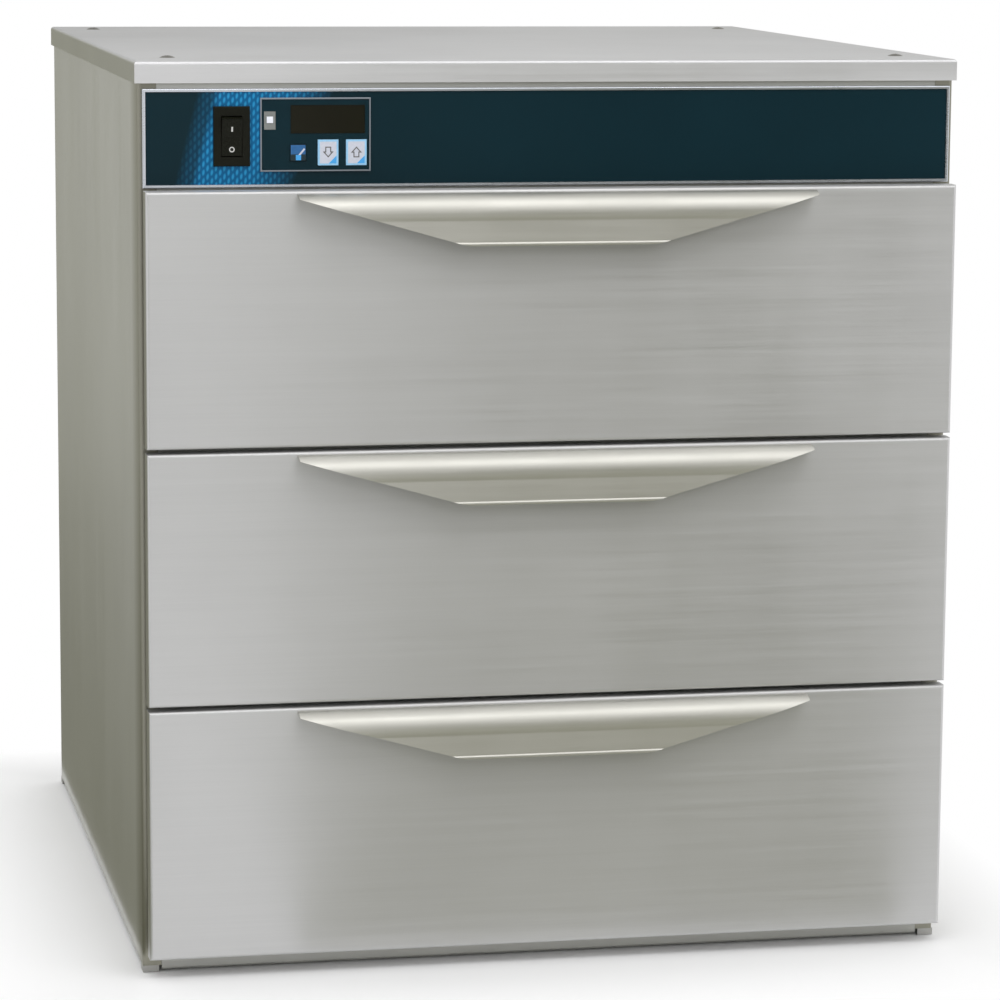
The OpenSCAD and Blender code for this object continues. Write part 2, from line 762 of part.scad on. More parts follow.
module switch_housing() {
    rim_t = 2.2;
    body_depth = 30;
    reach = rocker_h / 2 + run_gap;
    side = rocker_w / 2 + run_gap;
    color(plastic) placed() difference() {
        union() {
            translate([switch_cx, overlay_y - rim_t - fit_gap, switch_z - switch_h / 2]) front_solid(switch_w, switch_h, rim_t, 0.8);
            switch_cutout(-0.5, overlay_y - fit_gap - 1, body_depth);
        }
        hole_x(pivot_y, switch_z, switch_cx - side, switch_cx + side, reach);
        span([switch_cx - side, -reach, switch_z - reach], [switch_cx + side, pivot_y, switch_z + reach]);
        hole_x(pivot_y, switch_z, switch_cx - rocker_w / 2 - 2, switch_cx + rocker_w / 2 + 2, 1.6);
    }
}

// The rocker's face is two flats that meet in a shallow valley in front of the pivot
module switch_rocker() {
    valley = 3.6;
    l = rocker_h / 2 + 1;
    rise = l * tan(rocker_tilt);
    color(plastic) placed() translate([switch_cx, pivot_y, switch_z]) rotate([rocker_tilt, 0, 0]) {
        translate([-rocker_w / 2, 0, 0]) rotate([90, 0, 90]) linear_extrude(rocker_w) intersection() {
            circle(r = rocker_h / 2, $fn = 96);
            polygon([[4, -l], [4, l], [-valley - rise, l], [-valley, 0], [-valley - rise, -l]]);
        }
        hole_x(0, 0, -rocker_w / 2 - 1.7, rocker_w / 2 + 1.7, 1.5);
    }
}

// Place of the terminal block, beside and behind the controller
terminal_beside = 140;
terminal_behind = 160;

module terminal_block() {
    n = 6;
    w = 12;
    z0 = shelf_z + shelf_t;
    color([0.85, 0.85, 0.80]) placed() translate([controller_cx + terminal_beside, terminal_behind, z0]) difference() {
        cube([n * w, 26, 22]);
        for (i = [0 : n - 1]) translate([(i + 0.5) * w, 13, 10]) cylinder(h = 20, r = 3.5);
        translate([-cut, -cut, 12]) cube([n * w + 2 * cut, 7 + cut, 20]);
        translate([-cut, 19, 12]) cube([n * w + 2 * cut, 7 + cut, 20]);
    }
}

// Inlet bush for the supply cord, in the back panel
module cord_gland() {
    inside = 14;
    color(plastic) placed() difference() {
        union() {
            hole_y(gland_x, gland_z, body_d - casing_t - inside, body_d + 1, gland_r);
            hole_y(gland_x, gland_z, body_d, body_d + 4, gland_r + 4);
            hole_y(gland_x, gland_z, body_d + 3, body_d + gland_reach, gland_r - 1.5);
            hole_y(gland_x, gland_z, body_d - 2 * casing_t - 4, body_d - casing_t, gland_r + 3);
        }
        hole_y(gland_x, gland_z, body_d - 40, body_d + gland_reach + cut, gland_bore_r);
    }
}

// Slides

// Cabinet channels on both walls of the cavity, each with the pin of its front roller
module channels(i) {
    color(dark_steel) at_drawer(i) both_sides() {
        difference() {
            span([channel_x - channel_w, channel_y, channel_z], [channel_x, channel_y + channel_l, channel_z + channel_h]);
            span([channel_x - channel_w - cut, channel_y - cut, channel_z + rail_t],
                [channel_x - rail_t, channel_y + channel_l + cut, channel_z + channel_h - rail_t]);
        }
        roller_pin(front_roller_y, channel_x - rail_t / 2, roller_out - roller_w - 0.2);
        // End stop behind the rear roller
        span([channel_x - channel_w + 2, channel_y + channel_l - 4, channel_z + rail_t / 2],
            [channel_x - rail_t / 2, channel_y + channel_l, channel_z + 12]);
    }
}

// Pin along X with a head past the roller
module roller_pin(y, x_root, x_end) {
    s = x_end < x_root ? -1 : 1;
    hole_x(y, roller_z, min(x_root, x_end), max(x_root, x_end), pin_r);
    hole_x(y, roller_z, s < 0 ? x_end - pin_head_t : x_end, s < 0 ? x_end : x_end + pin_head_t, pin_head_r);
}

module roller(y, x0) {
    groove = 1;
    translate([x0, y, roller_z]) rotate([0, 90, 0]) rotate_extrude() {
        difference() {
            translate([pin_r + pin_gap, 0]) square([roller_d / 2 - pin_r - pin_gap, roller_w]);
            translate([roller_d / 2 - groove - 4, -cut]) square([3, groove + cut]);
            translate([roller_d / 2 - groove - 4, roller_w - groove]) square([3, groove + cut]);
        }
    }
}

module front_rollers(i) color([0.9, 0.9, 0.86]) at_drawer(i) both_sides() roller(front_roller_y, roller_out - roller_w);

module rear_rollers(i) color([0.9, 0.9, 0.86]) at_drawer(i) both_sides() roller(rear_roller_y, rear_roller_x);

// Drawers

module drawer_skin(i) {
    color(steel) at_drawer(i) translate([0, -front_t, 0])
        front_tray(body_w - 2 * front_inset, front_h, skin_return, skin_t, skin_bend_r);
}

// Shallow tray behind the skin that closes the drawer front and carries the gasket
liner_inset = 3;
front_back_y = -gasket_t - run_gap;

module front_liner(i) {
    w = body_w - 2 * front_inset - 2 * liner_inset;
    h = front_h - 2 * liner_inset;
    d = front_t - skin_t - fit_gap + front_back_y;
    color(dark_steel) at_drawer(i) translate([0, front_back_y, liner_inset]) mirror([0, 1, 0])
        front_tray(w, h, d, skin_t, skin_bend_r);
}

module front_insulation(i) {
    edge = liner_inset + skin_t + 1;
    color(wool) at_drawer(i) span([-half_w + front_inset + edge, -front_t + skin_t + 0.5, edge],
        [half_w - front_inset - edge, front_back_y - skin_t - 0.3, front_h - edge]);
}

module drawer_gasket(i) {
    edge = liner_inset + skin_bend_r + 1;
    color(rubber) at_drawer(i) front_ring([-half_w + front_inset + edge, front_back_y, edge],
        [half_w - front_inset - edge, -run_gap, front_h - edge], gasket_w);
}

// Handle: a rolled sheet with a lip, cut to a trapezium with rounded lower corners
function arc_points(cx, cy, r, a0, a1, n) = [for (k = [0 : n]) let (a = a0 + (a1 - a0) * k / n) [cx + r * cos(a), cy + r * sin(a)]];

module handle_outline() {
    drop = handle_drop;
    // Height of the blunt ends
    tip_h = 3;
    slope = atan2(drop - tip_h, (handle_top_w - handle_low_w) / 2);
    // Centre of each corner arc, tangent to the lower edge and to the slanted edge
    corner_x = handle_low_w / 2;
    tangent = handle_corner_r * tan(slope / 2);
    cx = corner_x - tangent;
    cy = -drop + handle_corner_r;
    right = arc_points(cx, cy, handle_corner_r, -90, -90 + slope, 8);
    left = [for (k = [8 : -1 : 0]) [-right[k][0], right[k][1]]];
    ends = [[handle_top_w / 2, -tip_h], [handle_top_w / 2, cut], [-handle_top_w / 2, cut], [-handle_top_w / 2, -tip_h]];
    polygon(concat(ends, left, right));
}

// Piece of a round band of outer radius r and thickness t, from angle a0 to angle a1
module arc_band(r, t, a0, a1) {
    middle = (a0 + a1) / 2;
    intersection() {
        difference() {
            circle(r = r, $fn = 96);
            circle(r = r - t, $fn = 96);
        }
        polygon(concat([[0, 0]], [for (a = [a0, middle, a1]) 2 * r * [cos(a), sin(a)]]));
    }
}

// Section of a handle: a level strip, a roll that tucks under, a return bend, a flat lip and its hem
module handle_profile() {
    roll_x = handle_roll_r - handle_reach;
    bend_x = roll_x - (handle_roll_r + handle_bend_r) * cos(handle_tuck);
    bend_y = handle_flat_h - handle_drop;
    lip_x = bend_x + handle_bend_r;
    hem_y = handle_hem_r - handle_drop;
    translate([roll_x, -handle_t]) square([-roll_x, handle_t]);
    translate([roll_x, -handle_roll_r]) arc_band(handle_roll_r, handle_t, 90, 180 + handle_tuck);
    translate([bend_x, bend_y]) arc_band(handle_bend_r + handle_t, handle_t, 0, handle_tuck);
    translate([lip_x, hem_y]) square([handle_t, bend_y - hem_y]);
    translate([lip_x + handle_t / 2, hem_y]) circle(r = handle_hem_r, $fn = 24);
}

module drawer_handle(i) {
    color(steel) at_drawer(i) translate([0, -front_t, front_h - skin_bend_r]) intersection() {
        translate([-handle_top_w / 2, 0, 0]) rotate([90, 0, 90]) linear_extrude(handle_top_w) handle_profile();
        translate([0, cut, 0]) rotate([90, 0, 0]) linear_extrude(handle_reach + 2 * cut) handle_outline();
    }
}

// Welded drawer frame: a ledge for the pan, deep webs at the sides with the running flanges,
// cross plates at both ends and the pins of the rear rollers
module drawer_frame(i) {
    plate_y = front_back_y;
    web_z = channel_z + rail_t + 2;
    flange_z = roller_z + roller_d / 2 + run_gap;
    end_z = rim_z - frame_end_h;
    color(steel) at_drawer(i) {
        difference() {
            span([-rail_half, plate_y, ledge_z - rail_t], [rail_half, frame_back, ledge_z]);
            span([-pan_half + pan_rim - 2, pan_y0 + pan_rim - 2, ledge_z - rail_t - cut],
                [pan_half - pan_rim + 2, pan_back - pan_rim + 2, ledge_z + cut]);
        }
        both_sides() {
            span([rail_half - rail_t, plate_y, web_z], [rail_half, frame_back, ledge_z]);
            span([rail_half - rail_t, liner_front + 2, flange_z], [roller_out, frame_back, flange_z + rail_t]);
            roller_pin(rear_roller_y, rail_half - rail_t / 2, rear_roller_x + roller_w + 0.2);
            hole_x(rear_roller_y, roller_z, rail_half - rail_t / 2, rear_roller_x - 0.2, pin_r + 2);
        }
        span([-rail_half, plate_y, end_z], [rail_half, plate_y + rail_t, ledge_z]);
        span([-rail_half, frame_back - rail_t, end_z], [rail_half, frame_back, ledge_z]);
    }
}

// Drawn pan with tapered walls and a turned rim
module pan_layer(half, y0, y1, r, z) {
    translate([-half, y0, z]) linear_extrude(0.1) round_rect(2 * half, y1 - y0, r, $fn = 32);
}

module pan_solid(inset, floor_z, top_z) {
    foot = 10;
    hull() {
        pan_layer(pan_half - pan_rim - inset, pan_y0 + pan_rim + inset, pan_back - pan_rim - inset, pan_corner_r, top_z);
        pan_layer(pan_half - pan_rim - pan_taper - inset, pan_y0 + pan_rim + pan_taper + inset,
            pan_back - pan_rim - pan_taper - inset, pan_corner_r, floor_z + foot);
        pan_layer(pan_half - pan_rim - pan_taper - foot - inset, pan_y0 + pan_rim + pan_taper + foot + inset,
            pan_back - pan_rim - pan_taper - foot - inset, pan_corner_r - foot / 2, floor_z);
    }
}

module pan(i) {
    floor_z = pan_floor_z;
    color([0.78, 0.78, 0.77]) at_drawer(i) difference() {
        union() {
            pan_solid(0, floor_z, rim_z - 0.1);
            translate([-rail_half + 3, pan_y0 - 5, ledge_z + fit_gap]) linear_extrude(rim_t)
                round_rect(2 * rail_half - 6, pan_back - pan_y0 + 8, pan_corner_r + 6, $fn = 32);
        }
        pan_solid(pan_t, floor_z + pan_t, rim_z + cut);
    }
}

top_cover();
left_side_panel();
right_side_panel();
back_panel();
bottom_panel();
base_strip();
feet();
leg_plates();
front_frame();
inner_liner();
insulation();
heating_cable();
air_sensor();
control_shelf();
control_bezel();
control_overlay();
controller_frame();
controller_box();
display_window();
indicator_lamp();
set_key();
down_key();
up_key();
switch_housing();
switch_rocker();
terminal_block();
cord_gland();
cover_screws();
back_screws();
for (i = [1 : drawer_count]) {
    channels(i);
    front_rollers(i);
    drawer_skin(i);
    drawer_handle(i);
    front_liner(i);
    front_insulation(i);
    drawer_gasket(i);
    drawer_frame(i);
    rear_rollers(i);
    pan(i);
}
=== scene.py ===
"""Looks of a three-drawer warming cabinet: sheet finishes, the control panel's prints, stage and camera."""

import json
import math
from functools import cached_property

import bmesh
import bpy
from bpy.props import FloatProperty, FloatVectorProperty, PointerProperty
from mathutils import Matrix, Vector


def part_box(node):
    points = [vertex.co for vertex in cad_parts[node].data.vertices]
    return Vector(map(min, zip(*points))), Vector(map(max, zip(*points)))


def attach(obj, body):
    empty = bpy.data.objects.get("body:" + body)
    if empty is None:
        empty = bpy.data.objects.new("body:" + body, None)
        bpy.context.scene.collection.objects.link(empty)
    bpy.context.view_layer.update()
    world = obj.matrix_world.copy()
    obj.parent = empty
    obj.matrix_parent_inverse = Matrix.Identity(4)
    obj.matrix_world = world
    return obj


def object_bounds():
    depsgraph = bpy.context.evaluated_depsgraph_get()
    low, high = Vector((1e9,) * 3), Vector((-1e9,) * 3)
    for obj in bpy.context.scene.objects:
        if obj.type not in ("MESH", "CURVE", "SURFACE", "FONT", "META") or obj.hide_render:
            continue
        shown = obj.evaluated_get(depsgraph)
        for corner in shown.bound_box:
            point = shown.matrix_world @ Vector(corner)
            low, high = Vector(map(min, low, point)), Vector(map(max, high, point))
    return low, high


bl_info = {
    "name": "Warming Cabinet Looks",
    "version": (1, 0, 0),
    "blender": (4, 5, 0),
    "location": "View3D > Sidebar > Cabinet",
    "description": "Finishes, printed marks, stage and camera for the warming cabinet",
    "category": "Object",
}

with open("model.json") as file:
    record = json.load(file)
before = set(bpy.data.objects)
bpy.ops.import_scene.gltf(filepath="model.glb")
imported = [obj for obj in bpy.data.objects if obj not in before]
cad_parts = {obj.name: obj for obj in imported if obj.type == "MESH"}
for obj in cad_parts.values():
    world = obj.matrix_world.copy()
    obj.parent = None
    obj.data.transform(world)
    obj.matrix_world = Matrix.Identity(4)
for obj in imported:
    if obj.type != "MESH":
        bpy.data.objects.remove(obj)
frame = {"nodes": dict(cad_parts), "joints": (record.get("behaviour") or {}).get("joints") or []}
CAD_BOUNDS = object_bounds()
JOINTS = {joint["name"]: joint for joint in frame["joints"]}
DRAWERS = (1, 2, 3)


def colour(name, text, default):
    """A colour that the user can change."""
    return FloatVectorProperty(
        name=name, description=text, subtype="COLOR", size=3, min=0, max=1, default=default
    )


def length(name, text, default, low=0.0):
    """A length in metres that the user can change."""
    return FloatProperty(name=name, description=text, subtype="DISTANCE", min=low, default=default)


def amount(name, text, default, high=1.0):
    """A plain number that the user can change."""
    return FloatProperty(name=name, description=text, min=0, max=high, default=default)


def angle(name, text, default):
    """An angle in degrees that the user can change."""
    return FloatProperty(name=name, description=text, min=-180, max=180, default=default)


class SteelSettings(bpy.types.PropertyGroup):
    """Colours and grain of the stainless sheet."""

    cover: colour("Cover", "Sheet of the cover", (0.710, 0.710, 0.720))
    casing: colour("Casing", "Sheet of the side and back panels and the frame", (0.560, 0.560, 0.530))
    front: colour("Fronts", "Sheet of the drawer fronts", (0.632, 0.632, 0.632))
    handle: colour("Handles", "Sheet of the rolled handles", (0.612, 0.604, 0.560))
    # Painted shade: the side panels darken towards their front bend, in place of the shade in the recess
    # beside the drawer fronts
    edge: colour("Front edge", "Side panels beside their front bend", (0.295, 0.288, 0.235))
    edge_start: length("Edge's start", "From the front bend back to where that tone starts", 0.0465)
    inside: colour("Inside", "Mill sheet of the liner, slides and shelf", (0.470, 0.466, 0.450))
    pan: colour("Pans", "Drawn sheet of the lift-out pans", (0.600, 0.598, 0.590))
    roughness: amount("Roughness", "Middle roughness of the brushed sheet", 0.46)
    stretch: amount("Stretch", "How far the gloss is drawn out across the grain", 0.7)
    grain_depth: amount("Grain depth", "Strength of the brushed grain", 0.10)


class PanelSettings(bpy.types.PropertyGroup):
    """Colours and print of the control panel."""

    film: colour("Film", "Ground colour of the printed film", (0.0025, 0.0190, 0.0270))
    glow: colour("Glow", "Ground of the print behind the switch", (0.0030, 0.1000, 0.2450))
    dash: colour("Dashes", "Lighter dashes of the print behind the switch", (0.0180, 0.2500, 0.5000))
    bezel: colour("Bezel", "Anodised border", (0.620, 0.650, 0.700))
    frame: colour("Frame", "Painted border of the controller", (0.300, 0.330, 0.370))
    window: colour("Display", "Tinted window over the display", (0.0095, 0.0090, 0.0045))
    rocker: colour("Rocker", "Rocker of the switch", (0.0070, 0.0075, 0.0040))
    key: colour("Keys", "Ground colour of the arrow keys", (0.290, 0.560, 0.800))
    corner: colour("Key corner", "Corner of the arrow keys", (0.050, 0.350, 0.760))
    field: colour("Key field", "Light field under an arrow", (0.560, 0.580, 0.660))
    ink: colour("Ink", "Outline of the arrows", (0.100, 0.095, 0.090))
    dash_pitch: length("Dash pitch", "Distance between two printed dashes", 0.0031)
    glow_left: length("Glow's left edge", "From the film's left end, at mid height", 0.0420)
    glow_right: length("Glow's right edge", "From the film's left end, at mid height", 0.112)
    left_lean: length("Left lean", "Lean of the glow's left edge over the film's height", 0.017)
    right_lean: length("Right lean", "Lean of the glow's right edge over the film's height", 0.030)


class StageSettings(bpy.types.PropertyGroup):
    """Floor, light, grey cards and camera."""

    floor: colour("Floor", "Plain pale floor", (0.92, 0.92, 0.92))
    floor_reach: length("Floor's reach", "From the cabinet to where the floor is all white", 0.12)
    sky: amount("Room light", "Light that comes from all round", 1.0, 4)
    top_power: amount("Top lamp", "Power of the soft lamp above the front, in watts", 10, 2000)
    front_flag: colour("Front flag", "Grey card that the fronts reflect", (0.07, 0.07, 0.03))
    floor_flag: colour("Far floor flag", "Grey card on the floor farther away", (0.27, 0.27, 0.21))
    near_floor_flag: colour("Near floor flag", "Grey card on the floor close by", (0.43, 0.43, 0.36))
    side_flag: colour("Side flag", "Grey card that the side panel reflects", (0.38, 0.38, 0.30))
    side_floor_flag: colour("Side floor flag", "Grey card beside the cabinet", (0.24, 0.24, 0.18))
    back_flag: colour("Back flag", "Pale card that the cover reflects", (0.52, 0.52, 0.50))
    back_right_flag: colour("Back right flag", "Card for the cover's right end", (0.66, 0.66, 0.63))
    camera_flag: colour("Camera flag", "Dark card round the camera", (0.05, 0.05, 0.03))
    focal: amount("Lens", "Focal length in millimetres on a 36 mm wide frame", 143.03, 500)
    azimuth: angle("Azimuth", "Camera's turn to the left of the front, in degrees", 11.695)
    elevation: angle("Elevation", "Camera's rise above the level, in degrees", 8.938)
    roll: angle("Roll", "Camera's turn about its own line of sight, in degrees", 0.404)
    distance: length("Distance", "From the camera to the point that it looks at", 2.98995)
    aim_x: length("Aim across", "Across the front, from its middle", -0.03825, low=-1)
    aim_z: length("Aim height", "Height of the point that the camera looks at", 0.353143)


class Finish:
    """A material under construction: one Principled shader and what feeds it."""

    def __init__(self, name, base, roughness, metallic=0.0):
        self.material = bpy.data.materials.new(name)
        self.material.use_nodes = True
        self.tree = self.material.node_tree
        self.shader = self.tree.nodes["Principled BSDF"]
        self.shader.inputs["Base Color"].default_value = (*base, 1)
        self.shader.inputs["Roughness"].default_value = roughness
        self.shader.inputs["Metallic"].default_value = metallic
        self.coords = self.node("ShaderNodeTexCoord").outputs["Object"]

    @cached_property
    def axes(self):
        """The object coordinates, with one output for each axis."""
        return self.node("ShaderNodeSeparateXYZ", Vector=self.coords).outputs

    def node(self, kind, **sockets):
        """Adds a node; a socket's value is a number, a colour or another node's output."""
        made = self.tree.nodes.new(kind)
        for key, value in sockets.items():
            self.feed(made.inputs[key.replace("_", " ")], value)
        return made

    def feed(self, socket, value):
        """Links an output to a socket, or sets its value."""
        if isinstance(value, bpy.types.NodeSocket):
            self.tree.links.new(value, socket)
        else:
            socket.default_value = value

    def math(self, operation, *values, clamp=False):
        """A Math node's result."""
        made = self.tree.nodes.new("ShaderNodeMath")
        made.operation = operation
        made.use_clamp = clamp
        for socket, value in zip(made.inputs, values):
            self.feed(socket, value)
        return made.outputs[0]

    def noise(self, scale, stretch=(1, 1, 1), detail=4.0, rough=0.6):
        """Noise over the object, from 0 to 1, stretched along the axes with a small factor."""
        placed = self.node("ShaderNodeMapping", Vector=self.coords, Scale=stretch).outputs[0]
        made = self.node("ShaderNodeTexNoise", Vector=placed, Scale=scale, Detail=detail, Roughness=rough)
        return made.outputs["Fac"]

    def spread(self, value, low, high, start=0.3, end=0.7):
        """Maps a value from one span to another."""
        sockets = {"Value": value, "From_Min": start, "From_Max": end, "To_Min": low, "To_Max": high}
        return self.node("ShaderNodeMapRange", **sockets).outputs[0]

    def blend(self, factor, first, second):
        """Mixes two colours."""
        made = self.tree.nodes.new("ShaderNodeMix")
        made.data_type = "RGBA"
        for socket, value in zip((made.inputs[0], made.inputs[6], made.inputs[7]), (factor, first, second)):
            self.feed(socket, (*value, 1) if isinstance(value, tuple) else value)
        return made.outputs[2]

    def tint(self, factor, base, span):
        """Feeds the base colour with a tone that runs span below and above base."""
        low = tuple(max(0, c * (1 - span)) for c in base)
        high = tuple(min(1, c * (1 + span)) for c in base)
        self.feed(self.shader.inputs["Base Color"], self.blend(factor, low, high))

    def gloss(self, level):
        """Sets how much a plain surface mirrors."""
        self.shader.inputs["Specular IOR Level"].default_value = level

    def relief(self, height, strength, depth):
        """A bump from a height between 0 and 1, depth in metres."""
        made = self.node("ShaderNodeBump", Height=height, Strength=strength, Distance=depth)
        self.feed(self.shader.inputs["Normal"], made.outputs[0])


# Specular levels: the usual one, and a low one that keeps dark films and plastics dark in a white room
PLAIN_GLOSS = 0.5
DARK_GLOSS = 0.14

# Brushed grain: the stretch of its noise, small along the grain, and the direction across it
ALONG_X = ((0.012, 1, 1), (0, 1, 1))
ALONG_Y = ((1, 0.012, 1), (1, 0, 1))
ALONG_Z = ((1, 1, 0.012), (1, 1, 0))
# Share of the fine lines in the grain, share of the grain in the tone, and how far the tone strays
FINE_SHARE = 0.6
GRAIN_IN_TONE = 0.55
TONE_SPAN = 0.045
# How far the roughness strays with the grain and with the soft wipes, and the wipes' stretch
GRAIN_STRAY = 0.05
WIPE_STRAY = (-0.02, 0.03)
WIPE_STRETCH = (1, 1, 0.35)
# Depth of the grain in metres at full strength
GRAIN_RELIEF = 0.00006


def brushed_sheet(name, base, grain, roughness=None, depth=None, edge=None):
    """Stainless sheet with a fine straight grain, faint cloudy tone and soft handling marks.

    With an edge (start, end, colour) the tone runs to that colour between two values of y, which paints shade
    on the sheet.
    """
    steel = bpy.context.scene.cabinet_steel
    middle = steel.roughness if roughness is None else roughness
    made = Finish(name, base, middle, metallic=1.0)
    drawn, crosswise = grain
    made.shader.inputs["Anisotropic"].default_value = steel.stretch
    across = made.node("ShaderNodeCombineXYZ", X=crosswise[0], Y=crosswise[1], Z=crosswise[2])
    made.feed(made.shader.inputs["Tangent"], across.outputs[0])
    fine = made.noise(900, drawn, detail=3, rough=0.65)
    coarse = made.noise(160, drawn, detail=2, rough=0.5)
    fine_part = made.math("MULTIPLY", fine, FINE_SHARE)
    coarse_part = made.math("MULTIPLY", coarse, 1 - FINE_SHARE)
    lines = made.math("ADD", fine_part, coarse_part)
    cloud = made.noise(5.5, detail=3, rough=0.5)
    wipes = made.noise(14, WIPE_STRETCH)
    grain_part = made.math("MULTIPLY", lines, GRAIN_IN_TONE)
    cloud_part = made.math("MULTIPLY", cloud, 1 - GRAIN_IN_TONE)
    tone = made.math("ADD", grain_part, cloud_part)
    made.tint(made.spread(tone, 0, 1, 0.35, 0.65), base, TONE_SPAN)
    # Painted shade: between start and end along y the tone runs to the darker edge colour
    if edge is not None:
        start, end, painted_shade = edge
        even_tone = made.shader.inputs["Base Color"].links[0].from_socket
        towards_edge = made.spread(made.axes["Y"], 0, 1, start, end)
        made.feed(made.shader.inputs["Base Color"], made.blend(towards_edge, even_tone, painted_shade))
    streaks = made.spread(lines, middle - GRAIN_STRAY, middle + GRAIN_STRAY)
    made.feed(made.shader.inputs["Roughness"], made.math("ADD", streaks, made.spread(wipes, *WIPE_STRAY)))
    made.relief(lines, steel.grain_depth if depth is None else depth, GRAIN_RELIEF)
    return made.material


def mill_sheet(name, base, roughness=0.42):
    """Plain cold-rolled sheet: no brushed grain, a soft mottle and faint roll lines."""
    made = Finish(name, base, roughness, metallic=1.0)
    mottle = made.noise(60, detail=3, rough=0.5)
    lines = made.noise(420, (1, 0.02, 1), detail=2, rough=0.5)
    made.tint(made.spread(mottle, 0, 1), base, 0.05)
    made.feed(made.shader.inputs["Roughness"], made.spread(lines, roughness - 0.02, roughness + 0.04))
    made.relief(mottle, 0.03, 0.0001)
    return made.material


def moulded(name, base, roughness, grain=900.0, depth=0.12, gloss=PLAIN_GLOSS):
    """Moulded plastic with a fine spark-eroded grain."""
    made = Finish(name, base, roughness)
    made.gloss(gloss)
    grains = made.noise(grain, detail=3)
    made.tint(made.spread(made.noise(30, detail=3), 0, 1), base, 0.10)
    made.feed(made.shader.inputs["Roughness"], made.spread(grains, roughness - 0.06, roughness + 0.06))
    made.relief(grains, depth, 0.00008)
    return made.material


def turned_plastic(name, base, roughness=0.38):
    """Turned acetal with the fine rings that the tool leaves."""
    made = Finish(name, base, roughness)
    rings = made.noise(2400, (1, 0.02, 0.02), detail=2, rough=0.5)
    made.tint(made.spread(made.noise(70), 0, 1), base, 0.05)
    made.feed(made.shader.inputs["Roughness"], made.spread(rings, roughness - 0.07, roughness + 0.07))
    made.relief(rings, 0.10, 0.00005)
    return made.material


def soft_rubber(name, base, roughness=0.62):
    """Silicone with a dusty, slightly uneven skin."""
    made = Finish(name, base, roughness)
    dust = made.noise(220, detail=5, rough=0.7)
    made.tint(made.spread(dust, 0, 1, 0.25, 0.8), base, 0.35)
    made.feed(made.shader.inputs["Roughness"], made.spread(dust, roughness - 0.08, roughness + 0.1))
    made.relief(made.noise(700, (0.05, 1, 1), detail=2), 0.15, 0.0001)
    return made.material


def mineral_wool(name, base):
    """Matted fibres in layers."""
    made = Finish(name, base, 0.95)
    fibres = made.noise(500, (0.10, 1, 0.6), detail=6, rough=0.75)
    layers = made.noise(60, (0.5, 0.5, 3))
    made.tint(made.spread(made.math("MULTIPLY", fibres, layers), 0, 1, 0.1, 0.45), base, 0.30)
    made.relief(fibres, 0.7, 0.001)
    made.shader.inputs["Sheen Weight"].default_value = 0.2
    return made.material


def printed_ink(name, base, roughness=0.5):
    """Screen-printed ink with a slightly uneven tone and skin."""
    made = Finish(name, base, roughness)
    made.tint(made.spread(made.noise(600, detail=3), 0, 1), base, 0.05)
    made.relief(made.noise(1500, detail=2), 0.05, 0.00003)
    return made.material


def dressed(node, material):
    """Puts a finish on every slot of a CAD node."""
    shown = frame["nodes"][node]
    if not shown.material_slots:
        shown.data.materials.append(material)
    for slot in shown.material_slots:
        slot.material = material


def dress_all(names, material):
    """Puts one finish on several CAD nodes."""
    for name in names:
        dressed(name, material)


def new_object(bm, name, material):
    """Turns a bmesh into an object of the scene."""
    mesh = bpy.data.meshes.new(name)
    bm.to_mesh(mesh)
    bm.free()
    mesh.materials.append(material)
    made = bpy.data.objects.new(name, mesh)
    bpy.context.collection.objects.link(made)
    return made


def finished_piece(bm, name, material, body, place):
    """Puts a bmesh in its place and makes it a piece of the object that rides on a body."""
    bmesh.ops.recalc_face_normals(bm, faces=bm.faces)
    bmesh.ops.transform(bm, matrix=place, verts=bm.verts)
    piece = new_object(bm, name, material)
    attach(piece, body)


# Thickness of a printed mark, and how far its back lies in the surface under it
PRINT = 0.00006
PRINT_SINK = 0.00002
# How far in front of a key's face the second and the third layer of print start
SECOND_PRINT = PRINT * 0.5
THIRD_PRINT = PRINT * 0.9


def flat_shape(points):
    """A bmesh with one face in the X-Z plane that looks towards -Y."""
    bm = bmesh.new()
    bm.faces.new([bm.verts.new((x, 0, z)) for x, z in points])
    bm.normal_update()
    return bm


def rectangle(left, right, low, high):
    """A flat shape with four corners."""
    return flat_shape([(left, low), (right, low), (right, high), (left, high)])


def print_of(bm):
    """Gives a flat shape the thickness of a print towards -Y and closes the sides."""
    raised = bmesh.ops.extrude_face_region(bm, geom=list(bm.faces), use_keep_orig=True)
    moved = [item for item in raised["geom"] if isinstance(item, bmesh.types.BMVert)]
    bmesh.ops.translate(bm, verts=moved, vec=(0, -PRINT, 0))
    return bm


def outline_of(bm, width):
    """Keeps only a border of the given width inside a flat shape."""
    bmesh.ops.inset_region(
        bm, faces=list(bm.faces), thickness=width, use_even_offset=True, use_boundary=True
    )
    middle = max(bm.faces, key=lambda face: face.calc_area() if len(face.verts) > 4 else 0)
    bmesh.ops.delete(bm, geom=[middle], context="FACES_ONLY")
    return bm


def front_of(node):
    """Centre, width and height of a CAD node's front face."""
    low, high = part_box(node)
    centre = Vector(((low[0] + high[0]) / 2, low[1], (low[2] + high[2]) / 2))
    return centre, high[0] - low[0], high[2] - low[2]


def ahead(centre, forward, x=0.0, z=0.0):
    """A place beside the centre of a face, so far in front of it."""
    return Matrix.Translation(centre + Vector((x, -forward, z)))


# How far past the front bend the side panels' painted edge shade would be full
EDGE_PAST = 0.0035


